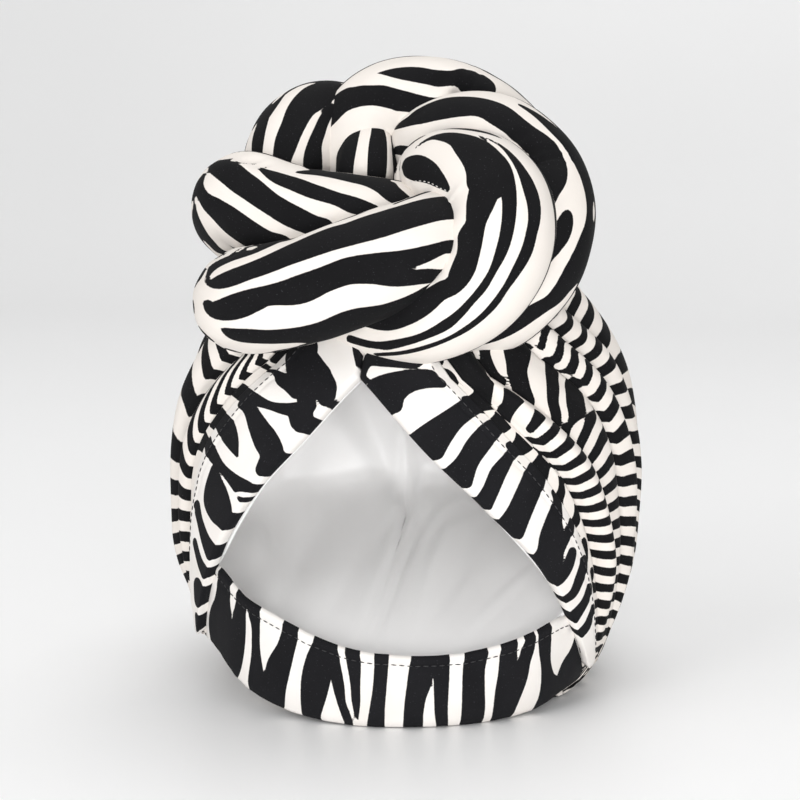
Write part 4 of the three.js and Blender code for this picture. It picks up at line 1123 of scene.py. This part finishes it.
# Dark and pale ribbons on each stretch, where they are seen from the front
rollStripes = {
    "inner_right": [
        dark((404, 172, 410, 157), (411, 180, 419, 155), (425, 183, 428, 159), (438, 188, 439, 171),
             (448, 192, 448, 186)),
        dark((416, 147, 417, 148), (430, 137, 431, 140), (446, 133, 446, 141), (463, 134, 457, 148),
             (481, 139, 466, 163), (495, 149, 470, 176), (504, 162, 470, 191)),
        dark((502, 180, 470, 190), (496, 196, 467, 204), (490, 210, 466, 216), (486, 222, 465, 227),
             (483, 235, 458, 240), (480, 252, 456, 256), (476, 268, 450, 270), (466, 281, 445, 285),
             (450, 292, 430, 290), (434, 306, 412, 302), (415, 319, 395, 312), (395, 325, 378, 316),
             (368, 324, 360, 318)),
        dark((496, 150, 492, 160), (508, 162, 497, 172), (514, 177, 500, 182), (516, 190, 501, 190),
             (517, 210, 502, 210), (513, 236, 500, 232), (507, 254, 495, 252), (497, 272, 489, 270),
             (487, 289, 478, 287), (476, 302, 467, 300), (465, 315, 455, 313), (450, 328, 440, 323),
             (428, 338, 420, 333), (405, 346, 400, 339), (378, 351, 375, 341), (352, 345, 350, 335)),
        dark((478, 137, 480, 136), (496, 144, 498, 143), (510, 159, 516, 157), (517, 172, 527, 171),
             (523, 188, 535, 186), (527, 204, 540, 202), (528, 220, 540, 219), (526, 233, 538, 232),
             (521, 250, 533, 250), (512, 270, 522, 270), (502, 287, 509, 289), (491, 302, 499, 304),
             (478, 316, 486, 317), (463, 328, 469, 330), (446, 337, 450, 340), (425, 345, 428, 349),
             (400, 351, 402, 355), (375, 353, 376, 356)),
        pale((332, 338, 331, 341), (350, 343, 349, 347), (370, 348, 370, 351), (386, 350, 386, 351)),
    ],
    "front_left": [
        dark((207, 284, 209, 285), (225, 273, 222, 289), (250, 262.5, 250, 280), (280, 249, 280, 269),
             (300, 240, 300, 262), (330, 228, 330, 252), (350, 222, 350, 246), (380, 212, 380, 238),
             (400, 206, 400, 231), (430, 198, 430, 222), (449, 196, 449, 219)),
        dark((206, 300, 208, 306), (215, 303, 216, 317), (230, 297, 230, 320.5), (250, 290, 250, 313),
             (270, 285, 268, 306), (300, 275, 300, 304), (325, 266, 325, 293), (350, 257, 350, 284),
             (375, 253, 375, 284), (400, 250.5, 400, 286), (425, 246, 425, 283), (446, 241, 440, 281)),
        pale((411, 269, 412, 269.5), (428, 262, 428, 268.5), (445, 254, 445, 268.5)),
        dark((222, 327, 224, 331), (245, 329, 245, 342), (270, 329.5, 270, 344), (300, 327, 300, 343),
             (325, 320, 326, 341), (350, 310, 352, 330), (380, 305, 384, 322), (410, 295, 416, 312),
             (432, 282, 440, 300)),
        dark((204, 285, 206, 283), (208, 271, 212, 273), (217, 261, 222, 266), (232, 255, 235, 260),
             (250, 250, 252, 254), (270, 243, 271, 246), (290, 235, 291, 238)),
    ],
    "middle_left": [
        dark((193, 192, 194, 194), (190.5, 207, 195, 209), (192, 222, 200, 222), (199, 236, 207, 233),
             (211, 248, 216, 243), (226, 255, 230, 252)),
        dark((207, 168, 208, 168.5), (200, 177, 203, 178), (196, 189, 203, 188), (199, 201, 212, 197),
             (207, 213, 227, 207), (220, 227, 243, 217), (235, 238, 262, 229), (252, 248, 280, 237),
             (264, 249, 290, 239)),
        dark((214, 168, 222, 161), (217, 177, 238, 164), (229, 189, 248, 171), (248, 202, 262, 182),
             (266, 214, 283, 198), (283, 224, 303, 209), (300, 231, 322, 219), (308, 234, 334, 224)),
        dark((257, 169, 262, 168.5), (272, 181, 278, 172), (290, 190, 297, 178), (310, 198, 318, 185),
             (333, 205, 338, 192), (355, 215, 358, 198), (374, 212, 377, 206)),
        dark((296, 173, 298, 171), (320, 176, 322, 171), (345, 181, 348, 172.5), (365, 186, 370, 174.5),
             (380, 194, 390, 181), (392, 203, 403, 189), (402, 203, 414, 196)),
        pale((375, 174, 375, 175.5), (392, 178, 391, 180), (403, 186, 401, 188.5),
             (413, 195, 411, 197)),
    ],
    "upper_left": [
        dark((252.5, 168, 262, 168), (252.5, 150, 262.5, 150), (254.5, 133, 265, 133),
             (260, 119, 269, 119), (268, 109, 275, 109), (280, 99, 281, 100)),
        dark((273, 172, 290, 174), (273, 155, 291.5, 158), (275, 142, 298, 143), (281, 124, 307, 124),
             (290, 104, 316, 112), (300, 92, 328, 105), (312, 85, 336, 95), (325, 85, 341, 90)),
        dark((303, 172, 322, 172), (304, 158, 322, 158), (308, 145, 322, 145), (314, 130, 326, 130),
             (321, 116, 332, 116), (327, 107, 336, 107)),
    ],
    "top": [
        dark((318, 172, 321, 172), (316.5, 152, 321, 152), (317, 136, 325, 137), (323, 117, 333, 121),
             (333, 101, 343, 113), (348, 91, 352, 108), (370, 85.5, 370, 105), (392, 87.5, 390, 109),
             (412, 93, 405, 112), (433, 99, 418, 112), (448, 102, 434, 112)),
        dark((377, 73, 378, 73.5), (395, 68, 395, 77), (415, 67, 413, 81), (435, 69.5, 433, 86),
             (455, 71, 455, 86), (470, 70.5, 468, 90), (480, 75, 473, 96), (488, 86, 480, 98),
             (498, 98, 490, 100)),
    ],
    "outer_right": [
        dark((391, 131, 392, 133.5), (405, 119, 408, 124), (420, 108, 425, 122), (440, 100, 443, 119),
             (460, 97.5, 463, 116.5), (480, 98.5, 480, 117), (500, 104, 498, 127), (520, 116, 510, 137),
             (535, 128, 521, 147), (551, 140, 530, 154), (562, 154, 531, 166), (565, 168, 533, 178),
             (560, 186, 538, 191), (553, 202, 540, 206), (546, 220, 541, 222), (543, 234, 542, 234)),
        dark((394, 155, 395, 147), (405, 155, 405, 146), (414, 149, 415, 147)),
        dark((521, 105, 522, 108), (541, 116, 537, 119), (559, 129, 553, 135), (575, 145, 565, 148),
             (586, 166, 574, 163), (592, 188, 582, 182), (593, 210, 586, 210), (593, 230, 584, 230),
             (591, 250, 577, 247), (586, 265, 569, 262), (578, 279, 561, 275), (567, 293, 552, 290),
             (553, 306, 541, 302), (538, 317, 526, 309), (520, 330, 508, 319), (503, 339, 492, 325),
             (483, 344, 478, 333), (462, 347, 462, 340), (447, 350, 448, 347)),
        dark((566, 214, 570, 216), (560, 219, 573, 222), (553, 229, 571, 233), (546, 242, 562, 249),
             (541, 250, 552, 261), (532, 264, 541, 273), (522, 281, 530, 289), (510, 299, 518, 303),
             (496, 315, 504, 316), (485, 326, 492, 325)),
    ],
    "centre": [
        dark((335, 173, 353, 173), (334, 155, 355, 155), (335, 138, 358, 138), (341, 124, 360, 125),
             (349, 117, 360, 118)),
        dark((367, 173, 386, 176), (368, 155, 387, 158), (370.5, 138, 386, 143), (372, 126, 381, 126),
             (372, 119, 376, 120)),
        dark((393, 180, 400, 180), (393, 160, 400, 160), (392, 146, 398, 146)),
    ],
}

rollPieces, rollShapes = makeRolls()
print("knot wound")


# Stitches: short rounded threads laid along a line of the hem
stitching = {"length": 2.7, "gap": 0.7, "thickness": 0.55, "proud": 0.18}


def sewAlong(name, line, spec, outward, start=0.0, stop=1.0):
    run = lengthsAlong(line, 0)
    shape = bmesh.new()
    sizes = (spec["length"], spec["thickness"], spec["thickness"])
    place = start * run[-1]
    while place + spec["length"] < stop * run[-1]:
        ends = []
        for at in (place, place + spec["length"]):
            ends.append(np.array([np.interp(at, run, line[:, k]) for k in range(3)]))
        lift = outward((ends[0] + ends[1]) / 2)
        made = bmesh.ops.create_icosphere(shape, subdivisions=1, radius=1)
        way = Vector(ends[1] - ends[0])
        turn = way.to_track_quat("X", "Z").to_matrix()
        middle = Vector(((ends[0] + ends[1]) / 2 + lift * spec["proud"] + capShift) * mm)
        for vert in made["verts"]:
            stretched = [part * size / 2 for part, size in zip(vert.co, sizes)]
            vert.co = turn @ (Vector(stretched) * mm) + middle
        place += spec["length"] + spec["gap"]
    return finishedPiece(name, shape)


def awayFromCap(point):
    way = point - cap["centre"]
    return way / np.linalg.norm(way)


# the hand stitches that close the roll's end, in the middle of the knot, as they are seen from the front
closingSeam = {"length": 1.5, "gap": 1.3, "thickness": 0.55, "proud": 0.15, "steps": 60,
               "line": [(410, 181), (418, 180.5), (426, 181.5), (433, 184.5), (441, 188), (449, 191)]}


def placesSeen(places, points, facing):
    x, y = seenAt(points)
    usable = facing > 0
    x, y, cloth = x[usable], y[usable], points[usable]
    return np.array([cloth[np.argmin((x - px) ** 2 + (y - py) ** 2)] for px, py in places])


seamPlaces = placesSeen(closingSeam["line"], *rollShapes["inner_right"])
seamLine = curveThrough(seamPlaces, np.linspace(0, 1, closingSeam["steps"]))
stitchesKnot = sewAlong("stitches_knot", seamLine, closingSeam, lambda point: cameraAxes()[2])
stitchesRight = sewAlong("stitches_right", rightStitchLine, stitching, awayFromCap, 0.12, 0.97)
stitchesLeft = sewAlong("stitches_left", leftStitchLine, stitching, awayFromCap, 0.12, 0.80)
stitchesNape = sewAlong("stitches_nape", napeStitchLine, stitching, awayFromCap, 0.04, 0.96)
print("hems sewn")


for piece, finish, slot, node in (
    (rightPiece, clothForWrap, "zebra_wrap", "wrap_panel_right"),
    (leftPiece, clothForWrap, "zebra_wrap", "wrap_panel_left"),
    (bandRight, clothForHem, "zebra_hem", "front_band_right"),
    (bandLeft, clothForHem, "zebra_hem", "front_band_left"),
    (napePiece, clothForHem, "zebra_hem", "nape_band"),
    (liningPiece, satin, "satin_lining", "lining"),
    (stitchesRight, darkThread, "zebra_hem", None),
    (stitchesLeft, darkThread, "zebra_hem", None),
    (stitchesNape, darkThread, "zebra_hem", None),
    (stitchesKnot, paleThread, "zebra_roll", None),
):
    piece.data.materials.append(finish)
    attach(piece, "root")
    if node:
        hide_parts(node)
for piece in rollPieces.values():
    piece.data.materials.append(clothForKnot)
    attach(piece, "root")
    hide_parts("knot_roll")


# one pale sheet: the table, which bends up into the backdrop behind
def makeSweep(name, spec):
    profile = [(spec["front"], 0.0)]
    for turn in np.linspace(0, math.pi / 2, spec["bendSteps"]):
        profile.append((spec["bendAt"] + spec["bend"] * math.sin(turn), spec["bend"] * (1 - math.cos(turn))))
    profile.append((spec["bendAt"] + spec["bend"], spec["top"]))
    shape = bmesh.new()
    rows = [[shape.verts.new((side * spec["halfWidth"], y, z)) for side in (-1, 1)] for y, z in profile]
    for below, above in zip(rows[:-1], rows[1:]):
        shape.faces.new((below[0], below[1], above[1], above[0]))
    piece = finishedPiece(name, shape)
    paint = mottled(name + "_paint", spec["tone"], (3.0, 2.0), 0.97, 0, spec["roughness"])
    piece.data.materials.append(paint)


makeSweep("backdrop", studio["sweep"])


def makeLight(name, place, target, size, power):
    data = bpy.data.lights.new(name, "AREA")
    data.size = size
    data.energy = power
    light = bpy.data.objects.new(name, data)
    light.location = place
    light.rotation_mode = "QUATERNION"
    light.rotation_quaternion = (Vector(target) - Vector(place)).to_track_quat("-Z", "Y")
    bpy.context.scene.collection.objects.link(light)


for row in studio["lights"]:
    makeLight(*row)

world = bpy.data.worlds.new("pale_room")
world.use_nodes = True
world.node_tree.nodes["Background"].inputs[0].default_value = (1, 1, 1, 1)
world.node_tree.nodes["Background"].inputs[1].default_value = studio["world"]
bpy.context.scene.world = world
bpy.context.scene.view_settings.view_transform = "Standard"

cameraData = bpy.data.cameras.new("camera")
cameraData.lens = studio["lens"]
cameraData.sensor_width = studio["sensor"]
camera = bpy.data.objects.new("camera", cameraData)
back = Vector(cameraAxes()[2])
target = Vector((np.array(studio["target"]) + capShift) * mm)
camera.location = target + back * studio["distance"] * mm
camera.rotation_mode = "QUATERNION"
camera.rotation_quaternion = (-back).to_track_quat("-Z", "Y")
bpy.context.scene.collection.objects.link(camera)
bpy.context.scene.camera = camera
print("studio set")
